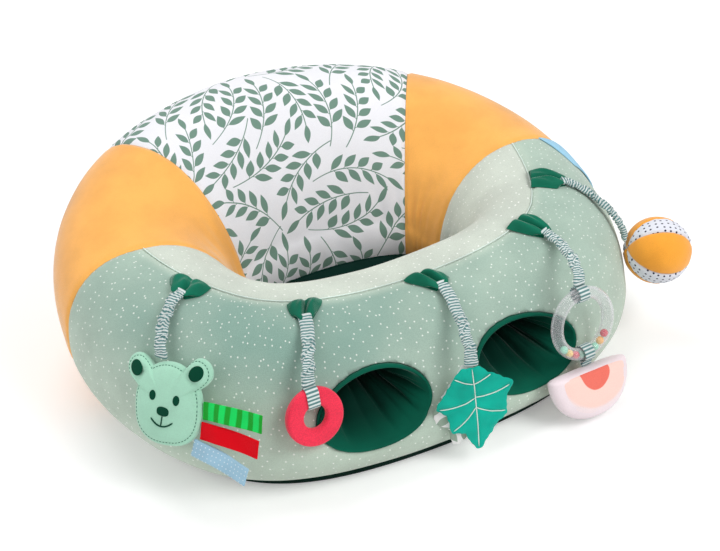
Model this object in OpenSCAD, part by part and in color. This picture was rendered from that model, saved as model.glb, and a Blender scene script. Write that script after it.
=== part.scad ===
// Baby floor seat: an air ring in a zipped fabric cover, with two leg openings
// through the front, a padded floor mat and five hanging activity toys.
// Angles round the ring run from 0 at the front, through 90 at the right side,
// to 180 at the back. Section angles run from 0 outward, through 90 at the top.

/* [Ring in plan] */
// Half width of the ring's centre line
ring_half_width = 221; // [200:1:240]
// Half depth of the ring's centre line
ring_half_depth = 163; // [150:1:180]
// How far the sides draw in towards the back
ring_taper = 14; // [4:1:20]
// How far the corners are squared
ring_square = 12; // [0:1:16]
// How far the front is flattened
ring_front_flat = 21; // [10:1:26]
// How far the back is rounded out
ring_back_round = 5; // [0:1:9]

/* [Ring in section] */
// Half width of the tube at the front
tube_front_w = 71; // [62:1:76]
// Half width of the tube at the sides
tube_side_w = 92; // [80:1:98]
// Half width of the tube at the back
tube_back_w = 90.5; // [80:0.5:98]
// Height of the tube at the front
tube_front_h = 145; // [138:1:155]
// Height of the tube at the sides
tube_side_h = 171; // [160:1:185]
// Height of the tube at the back
tube_back_h = 237; // [215:1:255]
// How long the rim stays low before it climbs to the back
rim_ease = 8; // [0:1:12]
// How far the rim leans in at the front and out at the back
rim_lean = 40; // [30:1:45]
// Height of the tube's widest level, as a share of its height
widest_level = 0.4; // [0.36:0.01:0.46]
// Fullness of the upper half, where 2 is an ellipse
upper_fullness = 2.26; // [2:0.02:2.6]
// Fullness of the lower half
lower_fullness = 1.7; // [1.6:0.02:2]

/* [Cover] */
// Thickness of the quilted cover
cover_thick = 3; // [2:0.25:4]
// Space between the cover and the air ring
cover_gap = 0.3; // [0.2:0.1:0.6]
// Space between two panels at a sewn seam
seam_gap = 0.3; // [0.2:0.1:0.6]
// Angle round the ring where the front panels end
front_seam_at = 105; // [98:1:112]
// Angle round the ring where the back panel begins
back_seam_at = 145.8; // [138:0.2:152]
// Section angle of the ridge seam at the front
ridge_front = 79.8; // [74:0.2:86]
// Section angle of the ridge seam at the sides
ridge_side = 92.6; // [86:0.2:98]
// Height of the base panel's turned-up edge
base_edge_h = 8; // [6:0.5:11]
// Height of the cover's inner edge, under the mat
inner_edge_h = 6; // [5:0.5:9]
// Height of the floor mat's crown
mat_h = 48; // [42:1:52]

/* [Leg openings] */
// Angle round the ring of each opening's middle
leg_at = 20.7; // [19:0.1:23]
// Width of an opening at its outer mouth
leg_mouth_w = 120; // [104:1:124]
// Height of an opening at its outer mouth
leg_mouth_h = 68; // [60:1:72]
// Height of an opening's middle above the floor
leg_z = 75; // [72:0.5:80]
// Width of an opening at its gathered waist
leg_waist_w = 92; // [80:1:100]
// Height of an opening at its gathered waist
leg_waist_h = 50; // [44:1:54]
// Thickness of the gathered lining
lining_thick = 2.5; // [1.5:0.25:3.5]
// How far the lining's soft hem stands proud of the cover
lining_hem = 1.5; // [0.5:0.25:3]

/* [Air valve] */
// Angle round the ring of the air valve
valve_at = 166; // [155:1:172]
// Section angle of the air valve
valve_tilt = 8; // [0:1:20]
// Radius of the valve's flange
valve_r = 15; // [12:0.5:18]
// Depth of the pocket that the valve sinks into
valve_pocket = 6; // [5:0.5:8]

/* [Tabs and straps] */
// Thickness of a folded velvet tab
tab_thick = 7; // [5:0.5:9]
// Width of a gathered strap
strap_w = 13; // [10:0.5:16]
// Thickness of a gathered strap
strap_thick = 6; // [5:0.5:7]
// Number of gathers along a strap
gathers = 11; // [7:1:14]
// Running clearance at the sewn hinges
hinge_gap = 0.4; // [0.3:0.05:0.8]
// Space between a hanging toy and the cover it rests on
rest_gap = 0.5; // [0.3:0.1:1]
// Width of the flat ribbon loops
ribbon_w = 12; // [9:0.5:14]
// Thickness of the flat ribbon loops
ribbon_thick = 1.6; // [1.2:0.1:2]

/* [Hanging places] */
// Animal head: angle round the ring, height, tilt and turn
head_hang = [-69.5, 143, 28, 6]; // [-180:0.5:180]
// Teether: angle round the ring, height, tilt and turn
teether_hang = [-36.6, 126, 14, 16]; // [-180:0.5:180]
// Leaf: angle round the ring, height, tilt and turn
leaf_hang = [1.5, 106, 12, -22]; // [-180:0.5:180]
// Rattle: angle round the ring, height, tilt and turn
rattle_hang = [33.9, 142, 12, -9]; // [-180:0.5:180]
// Ball: angle round the ring, height, tilt and turn
ball_hang = [67.5, 114, 5, 0]; // [-180:0.5:180]

/* [Animal head] */
// Half width of the face
head_half_w = 36; // [30:1:38]
// Half height of the face
head_half_h = 38; // [32:1:42]
// Thickness of the stuffed head
head_thick = 18; // [12:1:22]
// Radius of an ear
ear_r = 13; // [10:0.5:14]
// Length of a ribbon tag
tag_len = 60; // [45:1:70]
// Width of a ribbon tag
tag_w = 16; // [12:0.5:16]
// Thickness of a folded ribbon tag
tag_thick = 2.4; // [1.6:0.2:3]

/* [Teether and rattle] */
// Outer radius of the teether ring
teether_r = 28; // [25:0.5:31]
// Radius of the teether ring's hole
teether_hole_r = 11.5; // [9:0.5:13]
// Thickness of the teether ring
teether_thick = 9; // [7:0.5:11]
// Outer radius of the rattle ring
rattle_r = 38; // [34:0.5:41]
// Radius of the rattle ring's tube
rattle_tube_r = 6.2; // [5.4:0.1:7]
// Wall of the rattle ring's tube
rattle_wall = 1.2; // [0.8:0.1:1.4]
// Radius of a bead
bead_r = 4.1; // [3.4:0.1:4.2]
// Number of beads
beads = 8; // [5:1:10]

/* [Leaf, fruit slice and ball] */
// Height of the leaf
leaf_h = 85; // [74:1:90]
// Thickness of the padded leaf
leaf_thick = 5; // [3:0.5:7]
// Thickness of the printed leaf behind it
leaf_back_thick = 3; // [2:0.5:5]
// Half width of the fruit slice
fruit_r = 48; // [40:1:50]
// Depth of the fruit slice below its flat edge
fruit_h = 46; // [38:1:48]
// Thickness of the fruit slice
fruit_thick = 25; // [18:1:28]
// Radius of the fabric ball
ball_r = 36; // [32:0.5:38]
// Thickness of the ball's gores
gore_thick = 2.5; // [1.5:0.25:3]
// Number of gores in each of the ball's two colours
gore_pairs = 3; // [2:1:4]

/* [Side flap] */
// Angle round the ring of the flap's front edge
flap_from = 92; // [88:0.5:94]
// Angle round the ring of the flap's rear edge
flap_to = 104; // [100:0.5:104]
// Section angle of the flap's sewn edge at its front
flap_top_front = 54; // [46:1:60]
// Section angle of the flap's sewn edge at its rear
flap_top_rear = 73; // [62:1:76]
// How far the flap hangs down, as a section angle
flap_drop = 32; // [20:1:38]
// Thickness of the flap
flap_thick = 2.4; // [1.6:0.2:3]

/* [Zip] */
// Height of the closing zip on the back
zip_z = 38; // [34:1:42]
// Half of the arc that the zip runs round the back
zip_half_angle = 14; // [10:0.5:15]
// Width of the zip's tape
zip_tape_w = 16; // [13:1:18]
// Thickness of the zip's tape
zip_tape_thick = 1; // [0.6:0.1:1.4]
// Height of the row of teeth
zip_teeth_w = 4; // [3:0.25:5]
// How far the teeth stand out of the tape
zip_teeth_thick = 1.4; // [1:0.1:2]
// Number of teeth
zip_teeth_count = 80; // [50:1:90]
// Length of the zip's pull
zip_pull_len = 14; // [10:0.5:16]

/* [Hidden] */

$fn = 48;

// Steps of the ring's mesh: round the ring in each panel, and round its section
front_steps = 32;
side_steps = 6;
back_steps = 10;
outer_steps = 8;
inner_steps = 8;
under_steps = 3;
// Sides of a leg opening's oval
oval_sides = 32;

// Colours
sage = [0.70, 0.77, 0.71];
pale_sage = [0.80, 0.83, 0.78];
orange = [1.00, 0.69, 0.33];
white = [0.93, 0.93, 0.95];
deep_green = [0.00, 0.33, 0.26];
velvet = [0.00, 0.42, 0.32];
mint = [0.65, 0.84, 0.74];
stripe = [0.62, 0.78, 0.76];

// Where each tab leaves the ridge seam and where its strap is sewn on:
// angle round the ring and section angle of the start, then of the end
TABS = [
  [-79.5, 90, -77.5, 79],
  [-31.5, 80, -33, 67],
  [3, 78.5, 6.5, 64.5],
  [43, 86.5, 44.5, 67.5],
  [79.5, 92.5, 76.5, 73.5]];
// Width of each tab at the seam and at the strap
TAB_WIDTHS = [[40, 26], [33, 19], [32, 22], [26, 17], [30, 21]];
HANGS = [head_hang, teether_hang, leaf_hang, rattle_hang, ball_hang];

strap_r = strap_thick / 2;
pivot_off = strap_r + hinge_gap + 0.8;
toy_top = strap_r + hinge_gap;

// ---------- small functions ----------

function signed_pow(v, e) = sign(v) * pow(abs(v), e);
function unit(v) = v / norm(v);
function mix(a, b, k) = a + (b - a) * k;
function ease(k) = k * k * (3 - 2 * k);
function span(a, b, n) = [for (i = [0:n]) a + (b - a) * i / n];
function without_last(v) = [for (i = [0:len(v) - 2]) v[i]];
function mean(points) = [for (k = [0:2]) sum([for (p = points) p[k]]) / len(points)];
function sum(v, i = 0) = i < len(v) ? v[i] + sum(v, i + 1) : 0;

// ---------- the ring's surface ----------

// A size that is given at the front, the sides and the back
function round_ring(front, side, back, s) =
  (front + 2 * side + back) / 4 + (front - back) / 2 * cos(s)
  + (front - 2 * side + back) / 4 * cos(2 * s);

function centre(s) = [
  ring_half_width * sin(s) - ring_taper * sin(2 * s) + ring_square * sin(3 * s),
  -ring_half_depth * cos(s) + ring_front_flat * cos(2 * s)
    + ring_back_round * cos(3 * s),
  0];

// Direction of the centre line, and the outward direction square to it
function heading(s) = unit([
  ring_half_width * cos(s) - 2 * ring_taper * cos(2 * s) + 3 * ring_square * cos(3 * s),
  ring_half_depth * sin(s) - 2 * ring_front_flat * sin(2 * s)
    - 3 * ring_back_round * sin(3 * s),
  0]);
function outward(s) = let (h = heading(s)) [h.y, -h.x, 0];

function tube_w(s) = round_ring(tube_front_w, tube_side_w, tube_back_w, s);
function tube_h(s) =
  round_ring(tube_front_h, tube_side_h, tube_back_h, s)
  - rim_ease * (cos(3 * s) - cos(s));
function widest_z(s) = widest_level * tube_h(s);

// One section of the cover: distance outward from the centre line, and height
function section(s, t) =
  let (zc = widest_z(s), up = sin(t) >= 0, e = 2 / (up ? upper_fullness : lower_fullness))
  [tube_w(s) * signed_pow(cos(t), e) - rim_lean * cos(s) * sin(t),
   zc + (up ? tube_h(s) - zc : zc) * signed_pow(sin(t), e)];

// The same, moved square to the surface by off
function section_off(s, t, off) =
  let (d = section(s, t + 0.05) - section(s, t - 0.05))
  section(s, t) + off * [d.y, -d.x] / norm(d);

function from_section(s, q) = centre(s) + outward(s) * q.x + [0, 0, q.y];
function on_ring(s, t, off = 0) = from_section(s, section_off(s, t, off));
function skin_normal(s, t) = unit(on_ring(s, t, 1) - on_ring(s, t, 0));
function down_skin(s, t) = unit(on_ring(s, t - 0.2) - on_ring(s, t));

// Section angle of the outer wall at a height below its widest level
function low_angle(s, z) = -asin(pow(1 - z / widest_z(s), lower_fullness / 2));
function outer_edge(s) = low_angle(s, base_edge_h);
function inner_edge(s) = 180 - low_angle(s, inner_edge_h);
function ridge(s) =
  (ridge_front + ridge_side) / 2 + (ridge_front - ridge_side) / 2 * cos(2 * s);

// Rows of a panel, as section angles at s
function outer_rows(s, gap = 0) = span(outer_edge(s), ridge(s) - gap, outer_steps);
function inner_rows(s, gap = 0) = span(ridge(s) + gap, inner_edge(s), inner_steps);
function all_rows(s) = concat(without_last(outer_rows(s)), inner_rows(s));
function closed_rows(s) = concat(
  without_last(all_rows(s)),
  without_last(span(inner_edge(s), outer_edge(s) + 360, under_steps)));

function degrees_of(gap) = gap / 2 / (ring_half_width) * 180 / PI;
ring_columns = concat(
  without_last(span(-back_seam_at, -front_seam_at, side_steps)),
  without_last(span(-front_seam_at, front_seam_at, front_steps)),
  without_last(span(front_seam_at, back_seam_at, side_steps)),
  without_last(span(back_seam_at, 360 - back_seam_at, back_steps)));
ridge_gap = seam_gap / 2 / tube_side_w * 180 / PI;

// ---------- meshes ----------

// Two triangles for each four corners of a grid; outward by the right-hand rule
function grid_faces(rows, cols, start, wrap_rows, wrap_cols, flip) = [
  for (i = [0:rows - (wrap_rows ? 1 : 2)]) for (j = [0:cols - (wrap_cols ? 1 : 2)])
    let (i2 = (i + 1) % rows, j2 = (j + 1) % cols,
         a = start + i * cols + j, b = start + i2 * cols + j,
         c = start + i2 * cols + j2, d = start + i * cols + j2)
    for (f = flip ? [[a, b, c], [a, c, d]] : [[a, c, b], [a, d, c]]) f];

function flat_list(rows) = [for (r = rows) for (p = r) p];

// Closed tube through rings of points, with a fan over each end
module lofted(rings) {
  m = len(rings[0]);
  n = len(rings);
  points = concat(flat_list(rings), [mean(rings[0]), mean(rings[n - 1])]);
  first = [for (j = [0:m - 1]) [n * m, j, (j + 1) % m]];
  last = [for (j = [0:m - 1])
    [n * m + 1, (n - 1) * m + (j + 1) % m, (n - 1) * m + j]];
  polyhedron(points = points, convexity = 8,
    faces = concat(grid_faces(n, m, 0, false, true, true), first, last));
}

// Sheet of cover between two depths, over columns s and rows t
module cover_sheet(columns, row_grid, top, under) {
  n = len(columns);
  m = len(row_grid[0]);
  function layer(off) = [for (i = [0:n - 1]) for (j = [0:m - 1])
    on_ring(columns[i], row_grid[i][j], off)];
  k = n * m;
  // The four narrow edges, each a strip between the two layers
  function strip(a, b) = [[a, b, k + b], [a, k + b, k + a]];
  sides = concat(
    [for (j = [0:m - 2]) for (f = strip(j + 1, j)) f],
    [for (j = [0:m - 2]) for (f = strip((n - 1) * m + j, (n - 1) * m + j + 1)) f],
    [for (i = [0:n - 2]) for (f = strip(i * m, i * m + m)) f],
    [for (i = [1:n - 1]) for (f = strip(i * m + m - 1, i * m - 1)) f]);
  polyhedron(points = concat(layer(top), layer(under)), convexity = 10,
    faces = concat(grid_faces(n, m, 0, false, false, false),
      grid_faces(n, m, k, false, false, true), sides));
}

// The whole ring, moved square to its surface by off
module ring_solid(off) {
  points = [for (s = ring_columns) for (t = closed_rows(s)) on_ring(s, t, off)];
  polyhedron(points = points, convexity = 10,
    faces = grid_faces(len(ring_columns), len(closed_rows(0)), 0, true, true, false));
}

// ---------- ring and cover ----------

// Stations of a leg opening: outward distance from the centre line, width, height
function leg_stations(s) = let (w = tube_w(s)) [
  [w + 34, leg_mouth_w + 2, leg_mouth_h + 2],
  [0.5 * w, leg_mouth_w - 2, leg_mouth_h - 1],
  [0.05 * w, mix(leg_mouth_w, leg_waist_w, 0.7), mix(leg_mouth_h, leg_waist_h, 0.7)],
  [-0.35 * w, leg_waist_w, leg_waist_h],
  [-w - 40, leg_waist_w + 10, leg_waist_h]];

function leg_oval(s, station, grow) = [
  for (i = [0:oval_sides - 1]) let (a = 360 * i / oval_sides)
    centre(s) + outward(s) * station[0] + [0, 0, leg_z]
      + heading(s) * (station[1] / 2 + grow) * cos(a)
      + [0, 0, station[2] / 2 + grow] * sin(a)];

module leg_opening(s, grow = 0) {
  ovals = [for (station = leg_stations(s)) leg_oval(s, station, grow)];
  for (i = [0:len(ovals) - 2])
    hull() polyhedron(points = concat(ovals[i], ovals[i + 1]),
      faces = [[for (j = [0:oval_sides - 1]) j],
               [for (j = [0:oval_sides - 1]) oval_sides + j]]);
}

// Local frame on the ring's surface, with Z outward
module on_skin(s, t, off) {
  p = on_ring(s, t, off);
  x = heading(s);
  z = skin_normal(s, t);
  y = cross(z, x);
  multmatrix([[x.x, y.x, z.x, p.x], [x.y, y.y, z.y, p.y], [x.z, y.z, z.z, p.z]])
    children();
}

ring_off = -cover_thick - cover_gap;

module inflatable_ring() {
  color(white) difference() {
    ring_solid(ring_off);
    leg_opening(-leg_at);
    leg_opening(leg_at);
    on_skin(valve_at, valve_tilt, ring_off - valve_pocket)
      cylinder(r = valve_r + hinge_gap, h = 2 * valve_pocket);
  }
}

valve_base = 1.4;
valve_bore_r = 4;
valve_cap = valve_pocket - 3.2;
module air_valve() {
  color([0.85, 0.87, 0.9]) on_skin(valve_at, valve_tilt, ring_off - valve_pocket + 0.1)
    rotate_extrude() {
      translate([valve_bore_r, 0]) square([valve_r - valve_bore_r, valve_base]);
      translate([valve_bore_r, 0]) square([2, valve_cap - cover_gap]);
    }
}

module valve_plug() {
  color([0.75, 0.78, 0.82]) on_skin(valve_at, valve_tilt, ring_off - valve_pocket + 0.1)
    rotate_extrude() {
      translate([0, valve_base]) square([valve_bore_r - 0.1, valve_cap - valve_base]);
      translate([0, valve_cap]) square([valve_bore_r + 3, 1]);
    }
}

front_gap = degrees_of(seam_gap);

module front_panel() {
  columns = span(-front_seam_at + front_gap, front_seam_at - front_gap, front_steps);
  color(sage) difference() {
    cover_sheet(columns, [for (s = columns) outer_rows(s, ridge_gap)], 0, -cover_thick);
    leg_opening(-leg_at);
    leg_opening(leg_at);
  }
}

module front_top_panel() {
  columns = span(-front_seam_at + front_gap, front_seam_at - front_gap, front_steps);
  color(pale_sage) difference() {
    cover_sheet(columns, [for (s = columns) inner_rows(s, ridge_gap)], 0, -cover_thick);
    leg_opening(-leg_at);
    leg_opening(leg_at);
  }
}

module wrap_panel(from, to, steps) {
  columns = span(from + front_gap, to - front_gap, steps);
  cover_sheet(columns, [for (s = columns) all_rows(s)], 0, -cover_thick);
}

module left_side_panel() {
  color(orange) wrap_panel(-back_seam_at, -front_seam_at, side_steps);
}

module right_side_panel() {
  color(orange) wrap_panel(front_seam_at, back_seam_at, side_steps);
}

module back_panel() {
  color(white) wrap_panel(back_seam_at, 360 - back_seam_at, back_steps);
}

// Rings of points that shrink from the ring's edge to the middle of the well
well_middle = [0, 0.07 * ring_half_depth, 0];
base_top = cover_thick;
base_rows = 5;

module base_panel() {
  function rim(s, z) = let (p = on_ring(s, outer_edge(s))) [p.x, p.y, z];
  function hollow(s, k) =
    let (t = mix(outer_edge(s) - 7, -90, k / base_rows),
         p = on_ring(s, t, -cover_thick))
    [p.x, p.y, k == base_rows ? base_top : max(base_top, p.z)];
  rings = concat(
    [[for (s = ring_columns) mix(rim(s, 0), well_middle, 0.6)]],
    [[for (s = ring_columns) rim(s, 0)]],
    [[for (s = ring_columns) rim(s, base_edge_h - seam_gap)]],
    [for (k = [0:base_rows]) [for (s = ring_columns) hollow(s, k)]],
    [[for (s = ring_columns)
      mix(rim(s, base_top), well_middle + [0, 0, base_top], 0.6)]]);
  color([0.05, 0.17, 0.14]) lofted([for (r = rings) r]);
}

mat_rows = 5;
mat_side_h = 38;
module seat_mat() {
  function side(s, k) =
    let (z = mix(base_top + cover_gap + 1, mat_side_h, k / mat_rows),
         p = on_ring(s, 180 - low_angle(s, z), cover_gap + 0.3))
    [p.x, p.y, k == 0 ? base_top + cover_gap : z];
  function crown(s, k) =
    let (p = side(s, mat_rows), m = well_middle + [0, 0, mat_h])
    mix([p.x, p.y, 0], [m.x, m.y, 0], k)
      + [0, 0, mat_side_h + (mat_h - mat_side_h) * sqrt(1 - pow(1 - k, 4))];
  rings = concat(
    [[for (s = ring_columns)
      mix(side(s, 0), well_middle + [0, 0, base_top + cover_gap], 0.5)]],
    [for (k = [0:mat_rows]) [for (s = ring_columns) side(s, k)]],
    [for (k = [0.06, 0.2, 0.45, 0.75]) [for (s = ring_columns) crown(s, k)]]);
  color(deep_green) lofted(rings);
}

lining_gap = 2 * cover_gap;
// Gathered lining of one leg opening, trimmed a hem's width outside the cover
module leg_tunnel(s) {
  color(deep_green) intersection() {
    difference() {
      leg_opening(s, -lining_gap);
      leg_opening(s, -lining_gap - lining_thick);
    }
    ring_solid(lining_hem);
  }
}
module leg_tunnel_left() { leg_tunnel(-leg_at); }
module leg_tunnel_right() { leg_tunnel(leg_at); }

// ---------- tabs and straps ----------

// Points of one cross-section, placed at p with its width along side
function placed(p, side, tangent, shape) =
  let (n = cross(tangent, side)) [for (q = shape) p + side * q.x + n * q.y];

// Folded velvet tab: flat below, with two soft lobes and a crease between them
function tab_shape(w, h) = concat(
  [[-w / 2, -h / 2], [-w / 4, -h / 2], [0, -h / 2], [w / 4, -h / 2], [w / 2, -h / 2]],
  [for (x = [0.5, 0.4, 0.27, 0.12, 0, -0.12, -0.27, -0.4, -0.5])
    [w * x, h * (abs(x) == 0.5 ? -0.1 : x == 0 ? -0.05 : 0.5 * sin(abs(x) * 340))]]);

tab_lift = 1;
// One cross-section of a tab at a, bent to follow the cover under it
function tab_ring(a, w, thick) =
  let (per_degree = norm(on_ring(a[0] + 0.5, a[1]) - on_ring(a[0] - 0.5, a[1])))
  [for (q = tab_shape(w, thick))
    on_ring(a[0] + q.x / per_degree, a[1], tab_lift + thick / 2 + q.y)];

module seam_tab(i) {
  tab = TABS[i];
  widths = TAB_WIDTHS[i];
  steps = 7;
  // The tab stops short of the strap's round end
  stop = 1 - (strap_r + 4 * hinge_gap) /
    norm(on_ring(tab[0], tab[1]) - on_ring(tab[2], tab[3]));
  function at(k) = let (q = k * stop)
    [mix(tab[0], tab[2], ease(q)), mix(tab[1], tab[3], q)];
  color(velvet) lofted([for (j = [0:steps])
    let (k = j / steps)
    tab_ring(at(k), mix(widths[0], widths[1], k) * (1 + 0.12 * sin(180 * k)),
      tab_thick * (0.35 + 0.65 * sin(30 + 130 * k)))]);
}

// Outward place of a hang point at height z, so that what hangs there rests on
// the bulge. Each layer is [from, to, half thickness] down the hanging toy.
function hang_out(s, z, tilt, layers) = max([
  for (t = [80:-4:-72]) for (layer = layers)
    let (q = section_off(s, t, rest_gap), drop = (z - q.y) / cos(tilt))
    if (drop >= layer[0] && drop <= layer[1])
      q.x + (layer[2] + (q.y - z) * sin(tilt)) / cos(tilt)]);

turn_reach = 36;
LAYERS = [
  [[-4, 18, 5], [18, 95, head_thick / 2 - 1]],
  [[-4, 70, teether_thick / 2 + lining_hem]],
  [[-4, 95, leaf_thick + lining_hem + turn_reach * sin(-leaf_hang[3]) * 0.7]],
  [[-4, 88, rattle_tube_r + 2], [88, 140, fruit_thick / 2 + 2]],
  [[-4, 20, 4]]];

function hang_u(i) = let (h = HANGS[i]) hang_out(h[0], h[1], h[2], LAYERS[i]);
function hang_point(i) = let (h = HANGS[i]) from_section(h[0], [hang_u(i), h[1]]);
function hang_x(i) =
  let (h = HANGS[i], a = heading(h[0]), c = cos(h[3]), d = sin(h[3]))
  [a.x * c - a.y * d, a.x * d + a.y * c, 0];
function hang_z(i) =
  let (h = HANGS[i], x = hang_x(i), out = [x.y, -x.x, 0])
  out * cos(h[2]) + [0, 0, 1] * sin(h[2]);
function hang_y(i) = cross(hang_z(i), hang_x(i));

// Frame of a hanging toy: origin at its hinge, X to its right, Y up, Z outward
module hanging(i) {
  p = hang_point(i);
  x = hang_x(i);
  y = hang_y(i);
  z = hang_z(i);
  multmatrix([[x.x, y.x, z.x, p.x], [x.y, y.y, z.y, p.y], [x.z, y.z, z.z, p.z]])
    children();
}

function strap_top(i) = on_ring(TABS[i][2], TABS[i][3], pivot_off);

// Gathered strap: from its tab over the ridge and down to its toy
strap_pull = [0.32, 0.24];
function strap_at(i, k) =
  let (a = strap_top(i), b = hang_point(i), reach = norm(b - a),
       a2 = a + down_skin(TABS[i][2], TABS[i][3]) * reach * strap_pull[0],
       b2 = b + [0, 0, 1] * reach * strap_pull[1], m = 1 - k)
  m * m * m * a + 3 * m * m * k * a2 + 3 * m * k * k * b2 + k * k * k * b;
function strap_tangent(i, k) =
  let (a = strap_at(i, max(0, k - 0.01)), b = strap_at(i, min(1, k + 0.01)))
  unit(b - a);
function strap_side(i, k) =
  let (t = strap_tangent(i, k),
       v = mix(heading(TABS[i][2]), hang_x(i), ease(k)))
  unit(v - t * (v * t));

// Cross-section of a strap, as an eight-sided cushion
function strap_shape(w, h) = [for (a = [22.5:45:359])
  [w / 2 * signed_pow(cos(a), 0.5) * 1.05, h / 2 * signed_pow(sin(a), 0.8) * 1.08]];

module strap(i) {
  steps = 2 * gathers;
  // Round ends about the two hinge axes
  function end_ring(k, along, h) =
    let (t = strap_tangent(i, k))
    placed(strap_at(i, k) + t * along, strap_side(i, k), t, strap_shape(strap_w, h));
  rings = concat(
    [for (a = [80, 45]) end_ring(0, -strap_r * sin(a), 2 * strap_r * cos(a))],
    [for (j = [0:steps])
      let (k = j / steps, full = j == 0 || j == steps || j % 2 == 1,
           t = strap_tangent(i, k))
      placed(strap_at(i, k), strap_side(i, k), t,
        strap_shape(full ? strap_w : 0.84 * strap_w,
          full ? strap_thick : 0.68 * strap_thick))],
    [for (a = [45, 80]) end_ring(1, strap_r * sin(a), 2 * strap_r * cos(a))]);
  color(stripe) lofted(rings);
}

// ---------- hanging toys ----------

// Stuffed shape: an outline that swells to a thickness, tucked in at its seam
module pillow(outline, middle, thick, steps = 4, fullness = 0.55) {
  lofted([for (j = [-steps:steps])
    let (a = 84 * j / steps, f = pow(cos(a), fullness), z = thick / 2 * sin(a))
    [for (p = outline) [middle.x + (p.x - middle.x) * f,
                        middle.y + (p.y - middle.y) * f, z]]]);
}

// How far out a ray at angle a leaves an oval round the origin, or a circle elsewhere
function oval_exit(a, rx, ry, full) =
  pow(pow(abs(cos(a)) / rx, full) + pow(abs(sin(a)) / ry, full), -1 / full);
function circle_exit(a, c, r) =
  let (along = c * [cos(a), sin(a)], off2 = c * c - along * along)
  off2 < r * r && along > 0 ? along + sqrt(r * r - off2) : 0;

// The head hangs to one side of its strap, and a little turned
head_shift = head_half_w / 2;
head_turn = 10;
cheek_fullness = 2.6;
ear_angle = 47;
ear_reach = head_half_h + 7;
head_middle = [head_shift, -toy_top - 0.97 * head_half_h];
function ear_place(side) = ear_reach * [side * sin(ear_angle), cos(ear_angle)];
function head_radius(a) = max(
  oval_exit(a, head_half_w, head_half_h, a > 180 ? cheek_fullness : 2),
  circle_exit(a, ear_place(-1), ear_r),
  circle_exit(a, ear_place(1), ear_r));
head_outline = [for (a = [0:7.5:359])
  head_middle + head_radius(a) * [cos(a + head_turn), sin(a + head_turn)]];

module animal_head() {
  color(mint) hanging(0) pillow(head_outline, head_middle, head_thick);
}

// Ribbon tags: height below the head's middle, and angle, for each of the three
TAGS = [[4, 7], [-14, 3], [-31, -6]];
// The root stands just clear of the cheek over the tag's whole width
function tag_root(k) =
  let (y = TAGS[k][0], turn = TAGS[k][1],
       cheek = [for (b = [-90:2:30]) let (a = b < 0 ? b + 360 : b)
         head_radius(a) * [cos(a + head_turn), sin(a + head_turn)] - [0, y]],
       reach = max([for (p = cheek) if (abs(p.y) < tag_w * 0.6) p.x + p.y * tan(turn)]))
  head_middle + [reach + (2 * hinge_gap + tag_thick / 2) / cos(turn), y];

module ribbon_tag(k) {
  hanging(0) translate([tag_root(k).x, tag_root(k).y, 0]) rotate([0, 0, TAGS[k][1]]) {
    translate([0, -tag_w / 2, -tag_thick / 2]) cube([tag_len, tag_w, tag_thick]);
    rotate([90, 0, 0]) cylinder(d = tag_thick, h = tag_w, center = true);
  }
}
module ribbon_green() { color([0, 0.82, 0.36]) ribbon_tag(0); }
module ribbon_red() { color([0.87, 0, 0.1]) ribbon_tag(1); }
module ribbon_blue() { color([0.66, 0.8, 0.88]) ribbon_tag(2); }

// Flat ribbon loop round a bar: half sizes of its opening, then its ribbon
module ribbon_loop(half_y, half_z) {
  r = half_z + ribbon_thick;
  module slot(rad, half) {
    translate([-half, -rad]) square([2 * half, 2 * rad]);
    for (side = [-1, 1]) translate([side * half, 0]) circle(rad);
  }
  rotate([90, 0, 90]) translate([0, 0, -ribbon_w / 2])
    linear_extrude(ribbon_w) difference() {
      slot(r, half_y);
      slot(half_z, half_y);
    }
}

// How far a circle of radius r drops within the width of a ribbon loop
function loop_drop(r) = r - sqrt(r * r - ribbon_w * ribbon_w / 4);

teether_half = (teether_r - teether_hole_r) / 2;
teether_y = -toy_top - ribbon_thick - hinge_gap - teether_r;
teether_loop_z = teether_thick / 2 + hinge_gap;
teether_loop_top = teether_r + hinge_gap;
teether_loop_foot = teether_hole_r - loop_drop(teether_hole_r) - hinge_gap;
teether_loop_run = (teether_loop_top - teether_loop_foot) / 2 - teether_loop_z;

module teether_loop() {
  color(stripe) hanging(1)
    translate([0, teether_y + (teether_loop_top + teether_loop_foot) / 2, 0])
      ribbon_loop(teether_loop_run, teether_loop_z);
}

module teether_ring() {
  round_r = 0.42 * teether_thick;
  half = teether_half;
  color([0.92, 0.2, 0.3]) hanging(1) translate([0, teether_y, 0])
    rotate_extrude($fn = 72) translate([teether_hole_r + half, 0]) {
      square([2 * (half - round_r), teether_thick], center = true);
      square([2 * half, teether_thick - 2 * round_r], center = true);
      for (x = [-1, 1]) for (y = [-1, 1])
        translate([x * (half - round_r), y * (teether_thick / 2 - round_r)])
          circle(round_r);
    }
}

// Five-pointed leaf, as shares of its height from the stalk at its top
LEAF = [
  [-0.10, 0], [-0.22, -0.11], [-0.25, -0.19], [-0.33, -0.29], [-0.42, -0.42],
  [-0.43, -0.47], [-0.31, -0.55], [-0.29, -0.73], [-0.26, -0.77], [-0.12, -0.8],
  [-0.07, -0.9], [-0.01, -1], [0.05, -1], [0.13, -0.88], [0.22, -0.75],
  [0.36, -0.6], [0.37, -0.55], [0.36, -0.4], [0.44, -0.27], [0.44, -0.2],
  [0.18, -0.07], [0.1, 0]];
leaf_middle = [0, -0.48 * leaf_h];
leaf_drop = toy_top + 0.6;
function leaf_outline(size, lean) = [for (p = LEAF)
  let (q = p * size)
  [q.x * cos(lean) - q.y * sin(lean), q.x * sin(lean) + q.y * cos(lean) - leaf_drop]];

module leaf_front() {
  color([0.1, 0.71, 0.6]) hanging(2)
    translate([0, 0, leaf_back_thick / 2 + hinge_gap / 2])
      pillow(leaf_outline(leaf_h, 2), leaf_middle, leaf_thick, 3);
}

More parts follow.
